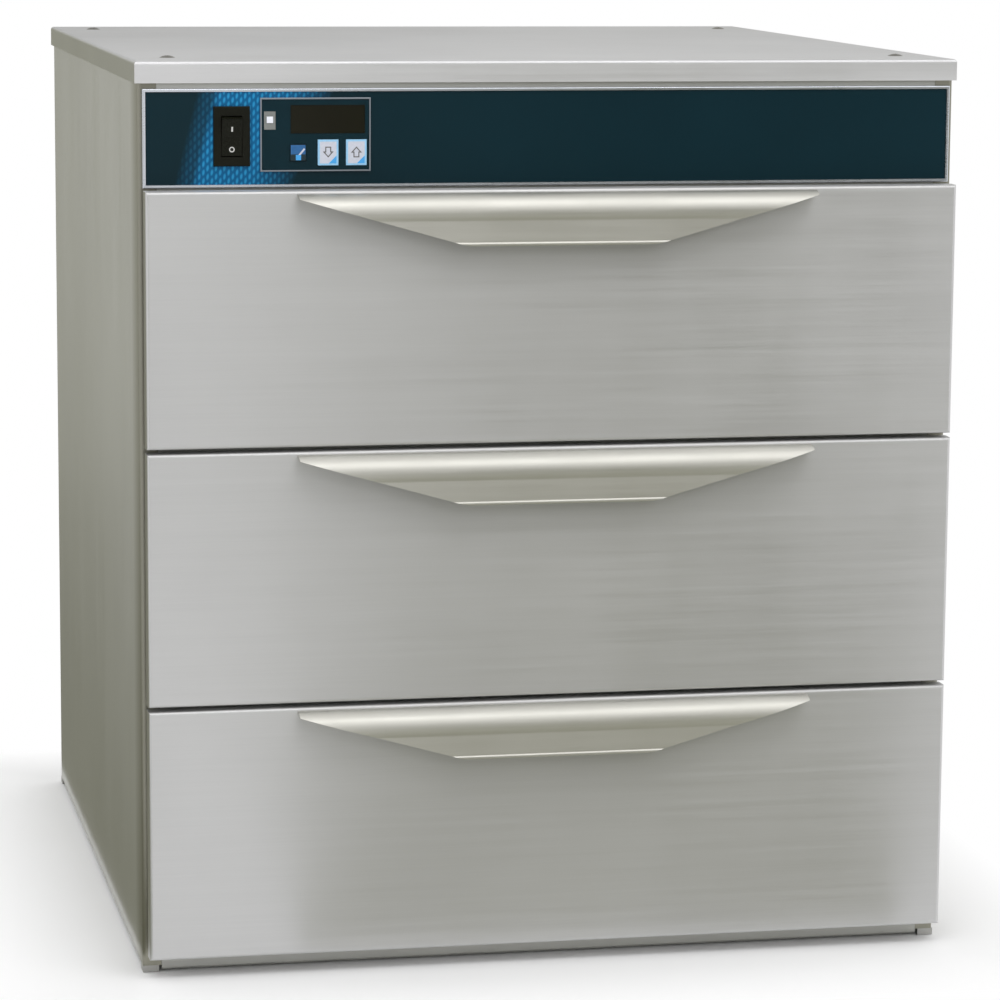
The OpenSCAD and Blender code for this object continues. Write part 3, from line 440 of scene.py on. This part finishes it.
class CABINET_OT_casing(bpy.types.Operator):
    """Finish the cover, panels, front frame, base and fasteners"""

    bl_idname = "cabinet.casing"
    bl_label = "Casing"

    def execute(self, context):
        steel = context.scene.cabinet_steel
        dressed("top_cover", brushed_sheet("Cover sheet", steel.cover, ALONG_X))
        dress_all(("front_frame", "base_strip"), brushed_sheet("Frame sheet", steel.casing, ALONG_X))
        # The side panels get a painted shade, darkest beside their front bend
        front_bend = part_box("left_side_panel")[0][1]
        edge = (front_bend + steel.edge_start, front_bend - EDGE_PAST, tuple(steel.edge))
        side = brushed_sheet("Side sheet", steel.casing, ALONG_Z, edge=edge)
        dress_all(("left_side_panel", "right_side_panel"), side)
        dressed("back_panel", brushed_sheet("Back sheet", steel.casing, ALONG_X, 0.42))
        dress_all(("bottom_panel", "leg_plates", "control_shelf"), mill_sheet("Inner sheet", steel.inside))
        dressed("feet", mill_sheet("Foot plate", steel.inside, 0.5))
        dress_all(("cover_screws", "back_screws"), mill_sheet("Screw plating", (0.36, 0.35, 0.33), 0.3))
        dressed("cord_gland", moulded("Gland nylon", (0.016, 0.016, 0.017), 0.45))
        dressed("terminal_block", moulded("Terminal body", (0.66, 0.64, 0.55), 0.5))
        return {"FINISHED"}


class CABINET_OT_cavity(bpy.types.Operator):
    """Finish the heated cavity: liner, insulation, heating cable and sensor"""

    bl_idname = "cabinet.cavity"
    bl_label = "Heated cavity"

    def execute(self, context):
        steel = context.scene.cabinet_steel
        dressed("inner_liner", mill_sheet("Liner sheet", steel.inside, 0.38))
        dressed("air_sensor", mill_sheet("Sensor sheath", steel.inside, 0.3))
        dressed("heating_cable", soft_rubber("Cable sleeve", (0.20, 0.035, 0.022), 0.5))
        dressed("insulation", mineral_wool("Cavity wool", (0.62, 0.50, 0.22)))
        return {"FINISHED"}


class CABINET_OT_slides(bpy.types.Operator):
    """Finish the slide channels, drawer frames and rollers"""

    bl_idname = "cabinet.slides"
    bl_label = "Slides"

    def execute(self, context):
        steel = context.scene.cabinet_steel
        rail = brushed_sheet("Slide sheet", steel.inside, ALONG_Y, 0.34)
        roller = turned_plastic("Roller acetal", (0.74, 0.74, 0.69))
        for number in DRAWERS:
            dress_all((f"channels_{number}", f"drawer_frame_{number}"), rail)
            dress_all((f"front_rollers_{number}", f"rear_rollers_{number}"), roller)
        return {"FINISHED"}


class CABINET_OT_drawers(bpy.types.Operator):
    """Finish the drawer fronts, handles, gaskets and pans"""

    bl_idname = "cabinet.drawers"
    bl_label = "Drawers"

    def execute(self, context):
        steel = context.scene.cabinet_steel
        front = brushed_sheet("Front sheet", steel.front, ALONG_X)
        handle = brushed_sheet("Handle sheet", steel.handle, ALONG_X, 0.42)
        tray = mill_sheet("Front tray sheet", steel.inside)
        pan = mill_sheet("Drawn pan", steel.pan, 0.32)
        gasket = soft_rubber("Gasket silicone", (0.018, 0.018, 0.018))
        wool = mineral_wool("Front wool", (0.62, 0.50, 0.22))
        for number in DRAWERS:
            dressed(f"drawer_skin_{number}", front)
            dressed(f"drawer_handle_{number}", handle)
            dressed(f"front_liner_{number}", tray)
            dressed(f"drawer_gasket_{number}", gasket)
            dressed(f"front_insulation_{number}", wool)
            dressed(f"pan_{number}", pan)
        return {"FINISHED"}


# How strong the glow is in its faint left margin, and what the full print adds to that
FAINT_GLOW = 0.22
FULL_GLOW = 0.78
# Where both come up beside the left edge and where all fades beside the right edge, in metres past the edge
FAINT_SPAN = (-0.013, -0.005)
FULL_SPAN = (-0.001, 0.005)
FALL_SPAN = (-0.022, 0.012)
# Dashes, in cells of the grid: how much they are squeezed sideways, their lean, and the radii at which
# one is full and has faded
DASH_NARROWING = 1.15
DASH_LEAN = 0.30
DASH_CORE = 0.20
DASH_EDGE = 0.46
# How far the tone of the film's dark ground strays
FILM_STRAY = 0.08


def glow_strength(made, panel, left, base, height):
    """How far the slanted print behind the switch shows; both edges lean to the right at the top."""
    height_share = made.math("DIVIDE", made.math("SUBTRACT", made.axes["Z"], base), height)
    above_middle = made.math("SUBTRACT", height_share, 0.5)
    across = made.math("SUBTRACT", made.axes["X"], left)

    def past(edge, lean):
        upright_edge = made.math("SUBTRACT", across, edge)
        return made.math("SUBTRACT", upright_edge, made.math("MULTIPLY", above_middle, lean))

    from_left = past(panel.glow_left, panel.left_lean)
    from_right = past(panel.glow_right, panel.right_lean)
    faint = made.spread(from_left, 0, FAINT_GLOW, *FAINT_SPAN)
    full = made.spread(from_left, 0, FULL_GLOW, *FULL_SPAN)
    fall = made.spread(from_right, 1, 0, *FALL_SPAN)
    return made.math("MULTIPLY", made.math("ADD", faint, full), fall, clamp=True)


def dashes(made, pitch):
    """Leaning dashes on a staggered grid, from 0 between them to 1."""
    column = made.math("DIVIDE", made.axes["X"], pitch)
    stagger = made.math("MULTIPLY", made.math("FLOORED_MODULO", made.math("FLOOR", column), 2.0), 0.5)
    row = made.math("ADD", made.math("DIVIDE", made.axes["Z"], pitch * 2.0), stagger)
    dx = made.math("MULTIPLY", made.math("SUBTRACT", made.math("FRACT", column), 0.5), DASH_NARROWING)
    dz = made.math("SUBTRACT", made.math("FRACT", row), 0.5)
    slant = made.math("SUBTRACT", dx, made.math("MULTIPLY", dz, DASH_LEAN))
    square = made.math("ADD", made.math("MULTIPLY", slant, slant), made.math("MULTIPLY", dz, dz))
    return made.spread(made.math("SQRT", square), 1, 0, DASH_CORE, DASH_EDGE)


def printed_film(panel):
    """Dark film with a slanted field of dashes behind the switch that fades to the right."""
    low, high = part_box("control_overlay")
    made = Finish("Printed film", panel.film, 0.30)
    made.gloss(DARK_GLOSS)
    strength = glow_strength(made, panel, low[0], low[2], high[2] - low[2])
    tone = made.spread(made.noise(7, detail=2), 0, 1)
    darker = tuple(c * (1 - FILM_STRAY) for c in panel.film)
    lighter = tuple(c * (1 + FILM_STRAY) for c in panel.film)
    ground = made.blend(tone, darker, lighter)
    lit = made.blend(dashes(made, panel.dash_pitch), tuple(panel.glow), tuple(panel.dash))
    made.feed(made.shader.inputs["Base Color"], made.blend(strength, ground, lit))
    made.relief(made.noise(1400, detail=2), 0.03, 0.00003)
    return made.material


def controller_face(panel):
    """Dark film of the controller, the same ink as the panel's."""
    made = Finish("Controller face", panel.film, 0.30)
    made.gloss(DARK_GLOSS)
    made.tint(made.spread(made.noise(40), 0, 1), panel.film, 0.10)
    made.relief(made.noise(1400, detail=2), 0.04, 0.00003)
    return made.material


def tinted_window(panel):
    """Smooth dark window over the display, which is off."""
    made = Finish("Display window", panel.window, 0.16)
    made.gloss(DARK_GLOSS)
    made.tint(made.spread(made.noise(9), 0, 1), panel.window, 0.12)
    return made.material


class CABINET_OT_control_panel(bpy.types.Operator):
    """Finish the bezel and its printed film"""

    bl_idname = "cabinet.control_panel"
    bl_label = "Control panel"

    def execute(self, context):
        panel = context.scene.cabinet_panel
        dressed("control_bezel", brushed_sheet("Anodised bezel", panel.bezel, ALONG_X, 0.28, 0.05))
        dressed("control_overlay", printed_film(panel))
        return {"FINISHED"}


# Shares of an arrow key's cap: width and height of the light field
FIELD_WIDTH = 0.80
FIELD_HEIGHT = 0.84
# Shares of the field's width: the corner that is cut off, and the arrow's width and line
CORNER_CUT = 0.48
ARROW_WIDTH = 0.66
ARROW_LINE = 0.06
# Shares of the field's height: the arrow's height and how far it stands above the middle
ARROW_HEIGHT = 0.50
ARROW_RAISE = 0.02
# Half the stem's width as a share of the arrow's width, and the drop of the head's foot below the middle
ARROW_STEM = 0.27
ARROW_FOOT = 0.06
# Share of the cut that the corner's wedge fills, which leaves a line of the ground
WEDGE_FILL = 0.94


def arrow_points(width, height, up):
    """Outline of a block arrow centred on the origin."""
    half, stem, foot = width / 2, width * ARROW_STEM, height * ARROW_FOOT
    points = [(0, height / 2), (-half, -foot), (-stem, -foot), (-stem, -height / 2)]
    points += [(stem, -height / 2), (stem, -foot), (half, -foot)]
    return points if up else [(-x, -z) for x, z in points]


def arrow_key_print(key, up, field, ink, corner):
    """Light field with a dark outlined arrow and a blue corner, printed on a key's cap."""
    centre, cap_width, cap_height = front_of(key)
    w, h = cap_width * FIELD_WIDTH, cap_height * FIELD_HEIGHT
    cut = w * CORNER_CUT
    seat = ahead(centre, -PRINT_SINK)
    shape = [(-w / 2, -h / 2), (w / 2 - cut, -h / 2), (w / 2, -h / 2 + cut), (w / 2, h / 2), (-w / 2, h / 2)]
    finished_piece(print_of(flat_shape(shape)), f"{key}_field", field, key, seat)
    side = cut * WEDGE_FILL
    wedge = flat_shape([(w / 2, -h / 2), (w / 2, -h / 2 + side), (w / 2 - side, -h / 2)])
    finished_piece(print_of(wedge), f"{key}_corner", corner, key, seat)
    arrow = outline_of(flat_shape(arrow_points(w * ARROW_WIDTH, h * ARROW_HEIGHT, up)), w * ARROW_LINE)
    over_field = ahead(centre, SECOND_PRINT, z=h * ARROW_RAISE)
    finished_piece(print_of(arrow), f"{key}_arrow", ink, key, over_field)


# Shares of the set key's width and height: half the blue patch's width, its foot and its top
PATCH_HALF = 0.48
PATCH_FOOT = -0.10
PATCH_TOP = 0.48
# Half the bar's width and length and its place, in the same shares, and its lean in degrees
BAR_HALF_WIDTH = 0.055
BAR_HALF_LENGTH = 0.30
BAR_PLACE = (0.22, 0.02)
BAR_LEAN = 40
# Half the spot's side and its place, in the same shares
SPOT_HALF = 0.17
SPOT_PLACE = (0.02, -0.30)
# Half the lens's width as a share of the indicator's, and its height above the indicator's middle
LENS_SHARE = 0.28
LENS_RAISE = 0.0006


class CABINET_OT_controller(bpy.types.Operator):
    """Finish the controller and print its keys"""

    bl_idname = "cabinet.controller"
    bl_label = "Controller"

    def execute(self, context):
        panel = context.scene.cabinet_panel
        dressed("controller_frame", brushed_sheet("Controller frame", panel.frame, ALONG_X, 0.40, 0.05))
        dressed("controller_box", controller_face(panel))
        dressed("display_window", tinted_window(panel))
        dressed("indicator_lamp", moulded("Lamp lens", (0.20, 0.21, 0.20), 0.35))
        dress_all(("down_key", "up_key"), printed_ink("Arrow key film", panel.key, 0.38))
        dressed("set_key", printed_ink("Set key film", panel.film, 0.34))
        field = printed_ink("Key field ink", panel.field, 0.42)
        ink = printed_ink("Key outline ink", panel.ink, 0.5)
        corner = printed_ink("Key corner ink", panel.corner, 0.42)
        arrow_key_print("down_key", False, field, ink, corner)
        arrow_key_print("up_key", True, field, ink, corner)
        self.set_mark(field, corner)
        self.lamp_lens()
        return {"FINISHED"}

    def set_mark(self, light, spot):
        """A blue patch with a slanted bar that rises from a spot, printed on the set key."""
        centre, w, h = front_of("set_key")
        patch_ink = printed_ink("Set key patch", (0.012, 0.110, 0.300), 0.42)
        patch = rectangle(-w * PATCH_HALF, w * PATCH_HALF, h * PATCH_FOOT, h * PATCH_TOP)
        seat = ahead(centre, -PRINT_SINK)
        finished_piece(print_of(patch), "set_key_patch", patch_ink, "set_key", seat)
        half_w, half_l = w * BAR_HALF_WIDTH, h * BAR_HALF_LENGTH
        bar = rectangle(-half_w, half_w, -half_l, half_l)
        lean = Matrix.Rotation(math.radians(BAR_LEAN), 4, "Y")
        bar_place = ahead(centre, SECOND_PRINT, w * BAR_PLACE[0], h * BAR_PLACE[1]) @ lean
        finished_piece(print_of(bar), "set_key_bar", light, "set_key", bar_place)
        half = w * SPOT_HALF
        square = rectangle(-half, half, -half, half)
        spot_place = ahead(centre, THIRD_PRINT, w * SPOT_PLACE[0], h * SPOT_PLACE[1])
        finished_piece(print_of(square), "set_key_spot", spot, "set_key", spot_place)

    def lamp_lens(self):
        """A bright lens square on the indicator."""
        centre, width, _ = front_of("indicator_lamp")
        half = width * LENS_SHARE
        lit = printed_ink("Lamp lens face", (0.80, 0.82, 0.88), 0.3)
        lens = print_of(rectangle(-half, half, -half, half))
        place = ahead(centre, -PRINT_SINK, z=LENS_RAISE)
        finished_piece(lens, "indicator_lens_face", lit, "cabinet", place)


# The switch's marks in metres: half width and half height of the on mark, radius and line of the off mark
ON_HALF_WIDTH = 0.0006
ON_HALF_HEIGHT = 0.0019
OFF_RADIUS = 0.0020
OFF_LINE = 0.0007
# How far the rocker's valley lies in front of its pivot, and the marks' places along the rocker's two halves
VALLEY = 0.0036
ON_PLACE = 0.0062
OFF_PLACE = -0.0090


class CABINET_OT_switch(bpy.types.Operator):
    """Finish the rocker switch and print its two marks"""

    bl_idname = "cabinet.switch"
    bl_label = "Switch"

    def execute(self, context):
        panel = context.scene.cabinet_panel
        dressed("switch_housing", moulded("Switch housing", panel.rocker, 0.42, gloss=DARK_GLOSS))
        dressed("switch_rocker", moulded("Rocker", panel.rocker, 0.28, 1600, 0.05, DARK_GLOSS))
        ink = printed_ink("Switch ink", (0.62, 0.62, 0.60), 0.5)
        joint = JOINTS["switch_rock"]
        tilt = math.radians(-min(joint["range_deg"]) / 2)
        at_rest = Matrix.Translation(joint["pos_m"]) @ Matrix.Rotation(tilt, 4, "X")
        valley = at_rest @ Matrix.Translation((0, -VALLEY + PRINT_SINK, 0))
        on = rectangle(-ON_HALF_WIDTH, ON_HALF_WIDTH, -ON_HALF_HEIGHT, ON_HALF_HEIGHT)
        upper = valley @ Matrix.Rotation(tilt, 4, "X") @ Matrix.Translation((0, 0, ON_PLACE))
        finished_piece(print_of(on), "switch_mark_on", ink, "switch_rocker", upper)
        off = bmesh.new()
        bmesh.ops.create_circle(off, cap_ends=True, segments=32, radius=OFF_RADIUS)
        bmesh.ops.rotate(off, verts=off.verts, matrix=Matrix.Rotation(math.radians(90), 3, "X"))
        ring = print_of(outline_of(off, OFF_LINE))
        lower = valley @ Matrix.Rotation(-tilt, 4, "X") @ Matrix.Translation((0, 0, OFF_PLACE))
        finished_piece(ring, "switch_mark_off", ink, "switch_rocker", lower)
        return {"FINISHED"}


# The soft lamp in metres: its place, the point that it looks at, its width and its height
LAMP_PLACE = Vector((0.1, -1.3, 2.1))
LAMP_AIM = Vector((0, -0.3, 0.4))
LAMP_SIZE = (2.0, 0.8)


def soft_lamp(name, power):
    """A wide area lamp above the front that looks down at it."""
    data = bpy.data.lights.new(name, "AREA")
    data.shape = "RECTANGLE"
    data.size, data.size_y = LAMP_SIZE
    data.energy = power
    lamp = bpy.data.objects.new(name, data)
    lamp.location = LAMP_PLACE
    lamp.rotation_euler = (LAMP_AIM - LAMP_PLACE).to_track_quat("-Z", "Y").to_euler()
    bpy.context.collection.objects.link(lamp)


def rays_that_see_white(tree):
    """Output that is 1 for camera, glossy and transmission rays."""
    path = tree.nodes.new("ShaderNodeLightPath")
    seen = path.outputs["Is Camera Ray"]
    for kind in ("Is Transmission Ray", "Is Glossy Ray"):
        either = tree.nodes.new("ShaderNodeMath")
        either.operation = "MAXIMUM"
        tree.links.new(seen, either.inputs[0])
        tree.links.new(path.outputs[kind], either.inputs[1])
        seen = either.outputs[0]
    return seen


def flag(name, corners, shade):
    """A grey card that only glossy rays meet, so it shapes reflections and is never seen itself."""
    material = bpy.data.materials.new(name)
    material.use_nodes = True
    tree = material.node_tree
    tree.nodes.clear()
    path = tree.nodes.new("ShaderNodeLightPath")
    clear = tree.nodes.new("ShaderNodeBsdfTransparent")
    grey = tree.nodes.new("ShaderNodeEmission")
    grey.inputs["Color"].default_value = (*shade, 1)
    mixed = tree.nodes.new("ShaderNodeMixShader")
    out = tree.nodes.new("ShaderNodeOutputMaterial")
    tree.links.new(path.outputs["Is Glossy Ray"], mixed.inputs[0])
    tree.links.new(clear.outputs[0], mixed.inputs[1])
    tree.links.new(grey.outputs[0], mixed.inputs[2])
    tree.links.new(mixed.outputs[0], out.inputs["Surface"])
    bm = bmesh.new()
    bm.faces.new([bm.verts.new(corner) for corner in corners])
    new_object(bm, name, material)


def upright(start, end, low, high):
    """Corners of a card that stands between two points of the plan."""
    return [(*start, low), (*end, low), (*end, high), (*start, high)]


def lying(*plan, z=0.01):
    """Corners of a level card, just above the floor unless a height is given."""
    return [(x, y, z) for x, y in plan]


# Plan of the cards on the floor before the cabinet: distances towards -Y, and x of both edges at each
FRONT_CARD_DEPTHS = (-0.36, -2, -4)
FRONT_CARD_LEFT = (-0.19, 0.12, 0.43)
FRONT_CARD_RIGHT = (0.28, 0.97, 1.75)
# The upright card at the far end of them: x of its right edge, and its top
FRONT_FLAG_RIGHT = 1.85
FRONT_FLAG_TOP = 1.6
# Cards behind and above: y, top, x of the left edge, split and right edge, and foot of the back ones, and the
# overhead card's front edge
BACK = 2.6
OVERHEAD = 2.4
BACK_CARD_EDGES = (-2, 0.5, 3)
BACK_CARD_FOOT = 0.75
OVERHEAD_FRONT = -0.34
# Cards that stand on two points of the plan, with their foot and top, and one that lies beside the cabinet
CAMERA_CARD = ((-1.05, -2.13), (-0.45, -2.25), 0, 1.6)
LEFT_CARD = ((-2.18, 1.27), (-0.52, 2.12), -0.2, 1.3)
LEFT_FLOOR_CARD = ((-2.28, -0.5), (-0.32, -0.5), (-0.32, 2.1), (-2.28, 2.1))
# Half the floor's width, and its depth under the cabinet's lowest point
FLOOR_SIZE = 9
FLOOR_DROP = 0.0003
# Where the floor starts to run into the white, from the cabinet, and how much it mirrors
FLOOR_START = 0.01
FLOOR_GLOSS = 0.1


class CABINET_OT_stage(bpy.types.Operator):
    """Lay the floor, place the lamp and the cards, and set the camera at the photograph's angle"""

    bl_idname = "cabinet.stage"
    bl_label = "Stage"

    def execute(self, context):
        stage = context.scene.cabinet_stage
        self.floor(stage)
        self.room(context.scene, stage)
        soft_lamp("Top lamp", stage.top_power)
        self.cards(stage)
        self.camera(context.scene, stage)
        context.scene.view_settings.view_transform = "Standard"
        return {"FINISHED"}

    def cards(self, stage):
        """Grey cards in the room that the sheet metal reflects."""
        near_left, middle_left, far_left = zip(FRONT_CARD_LEFT, FRONT_CARD_DEPTHS)
        near_right, middle_right, far_right = zip(FRONT_CARD_RIGHT, FRONT_CARD_DEPTHS)
        flag_right = (FRONT_FLAG_RIGHT, far_left[1])
        flag("Front flag", upright(far_left, flag_right, 0, FRONT_FLAG_TOP), stage.front_flag)
        near_corners = lying(near_left, near_right, middle_right, middle_left)
        flag("Front floor flag", near_corners, stage.near_floor_flag)
        far_corners = lying(middle_left, middle_right, far_right, far_left)
        flag("Far floor flag", far_corners, stage.floor_flag)
        flag("Camera flag", upright(*CAMERA_CARD), stage.camera_flag)
        flag("Left flag", upright(*LEFT_CARD), stage.side_flag)
        flag("Left floor flag", lying(*LEFT_FLOOR_CARD), stage.side_floor_flag)
        left, split, right = ((x, BACK) for x in BACK_CARD_EDGES)
        flag("Back flag", upright(left, split, BACK_CARD_FOOT, OVERHEAD), stage.back_flag)
        flag("Back right flag", upright(split, right, BACK_CARD_FOOT, OVERHEAD), stage.back_right_flag)
        front_left, front_right = (left[0], OVERHEAD_FRONT), (right[0], OVERHEAD_FRONT)
        flag("Overhead flag", lying(front_left, front_right, right, left, z=OVERHEAD), stage.back_flag)

    def floor(self, stage):
        """A wide pale floor that keeps the shadow and runs into the white backdrop."""
        bm = bmesh.new()
        bmesh.ops.create_grid(bm, x_segments=1, y_segments=1, size=FLOOR_SIZE)
        bmesh.ops.translate(bm, vec=(0, 0, -FLOOR_DROP), verts=bm.verts)
        made = Finish("Pale floor", stage.floor, 0.9)
        made.tint(made.spread(made.noise(3), 0, 1), stage.floor, 0.01)
        made.gloss(FLOOR_GLOSS)
        corner = CAD_BOUNDS[1]
        beside = made.math("SUBTRACT", made.math("ABSOLUTE", made.axes["X"]), corner[0])
        before = made.math("SUBTRACT", made.math("ABSOLUTE", made.axes["Y"]), corner[1])
        far = made.spread(made.math("MAXIMUM", beside, before), 0, 1, FLOOR_START, stage.floor_reach)
        share = made.math("MULTIPLY", far, rays_that_see_white(made.tree))
        white = made.node("ShaderNodeEmission", Color=(1, 1, 1, 1), Strength=1.0)
        mixed = made.tree.nodes.new("ShaderNodeMixShader")
        made.feed(mixed.inputs[0], share)
        made.feed(mixed.inputs[1], made.shader.outputs[0])
        made.feed(mixed.inputs[2], white.outputs[0])
        made.feed(made.tree.nodes["Material Output"].inputs["Surface"], mixed.outputs[0])
        new_object(bm, "Floor", made.material)

    def room(self, scene, stage):
        """A white backdrop for the camera and for reflections, and the room's light on all else."""
        world = bpy.data.worlds.new("Room")
        world.use_nodes = True
        scene.world = world
        tree = world.node_tree
        back = tree.nodes["Background"]
        level = tree.nodes.new("ShaderNodeMapRange")
        tree.links.new(rays_that_see_white(tree), level.inputs["Value"])
        level.inputs["To Min"].default_value = stage.sky
        level.inputs["To Max"].default_value = 1.0
        tree.links.new(level.outputs[0], back.inputs["Strength"])
        back.inputs["Color"].default_value = (1, 1, 1, 1)

    def camera(self, scene, stage):
        """A long lens that looks slightly down from the left."""
        azimuth, elevation = math.radians(-stage.azimuth), math.radians(stage.elevation)
        level = math.cos(elevation)
        back = Vector((math.sin(azimuth) * level, -math.cos(azimuth) * level, math.sin(elevation)))
        aim = Vector((stage.aim_x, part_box("front_frame")[0][1], stage.aim_z))
        right = (-back).cross(Vector((0, 0, 1))).normalized()
        up = right.cross(-back)
        turn = math.radians(stage.roll)
        across = right * math.cos(turn) + up * math.sin(turn)
        above = up * math.cos(turn) - right * math.sin(turn)
        data = bpy.data.cameras.new("Camera")
        data.sensor_fit = "HORIZONTAL"
        data.sensor_width = 36
        data.lens = stage.focal
        data.clip_end = 50
        camera = bpy.data.objects.new("Camera", data)
        turned = Matrix((across, above, back)).transposed().to_4x4()
        camera.matrix_world = Matrix.Translation(aim + back * stage.distance) @ turned
        scene.collection.objects.link(camera)
        scene.camera = camera


STEPS = (
    CABINET_OT_casing,
    CABINET_OT_cavity,
    CABINET_OT_slides,
    CABINET_OT_drawers,
    CABINET_OT_control_panel,
    CABINET_OT_controller,
    CABINET_OT_switch,
    CABINET_OT_stage,
)


class CABINET_PT_looks(bpy.types.Panel):
    """Lists the steps that dress the cabinet"""

    bl_label = "Warming cabinet"
    bl_space_type = "VIEW_3D"
    bl_region_type = "UI"
    bl_category = "Cabinet"

    def draw(self, context):
        for step in STEPS:
            self.layout.operator(step.bl_idname)


SETTINGS = {
    "cabinet_steel": SteelSettings,
    "cabinet_panel": PanelSettings,
    "cabinet_stage": StageSettings,
}


def register():
    """Registers the settings, steps and panel."""
    for name, group in SETTINGS.items():
        bpy.utils.register_class(group)
        setattr(bpy.types.Scene, name, PointerProperty(type=group))
    for step in STEPS:
        bpy.utils.register_class(step)
    bpy.utils.register_class(CABINET_PT_looks)


def unregister():
    """Takes the settings, steps and panel away again."""
    bpy.utils.unregister_class(CABINET_PT_looks)
    for step in reversed(STEPS):
        bpy.utils.unregister_class(step)
    for name, group in SETTINGS.items():
        delattr(bpy.types.Scene, name)
        bpy.utils.unregister_class(group)


def main():
    """Dresses the cabinet."""
    register()
    for step in STEPS:
        group, name = step.bl_idname.split(".")
        getattr(getattr(bpy.ops, group), name)()


if __name__ == "__main__":
    main()
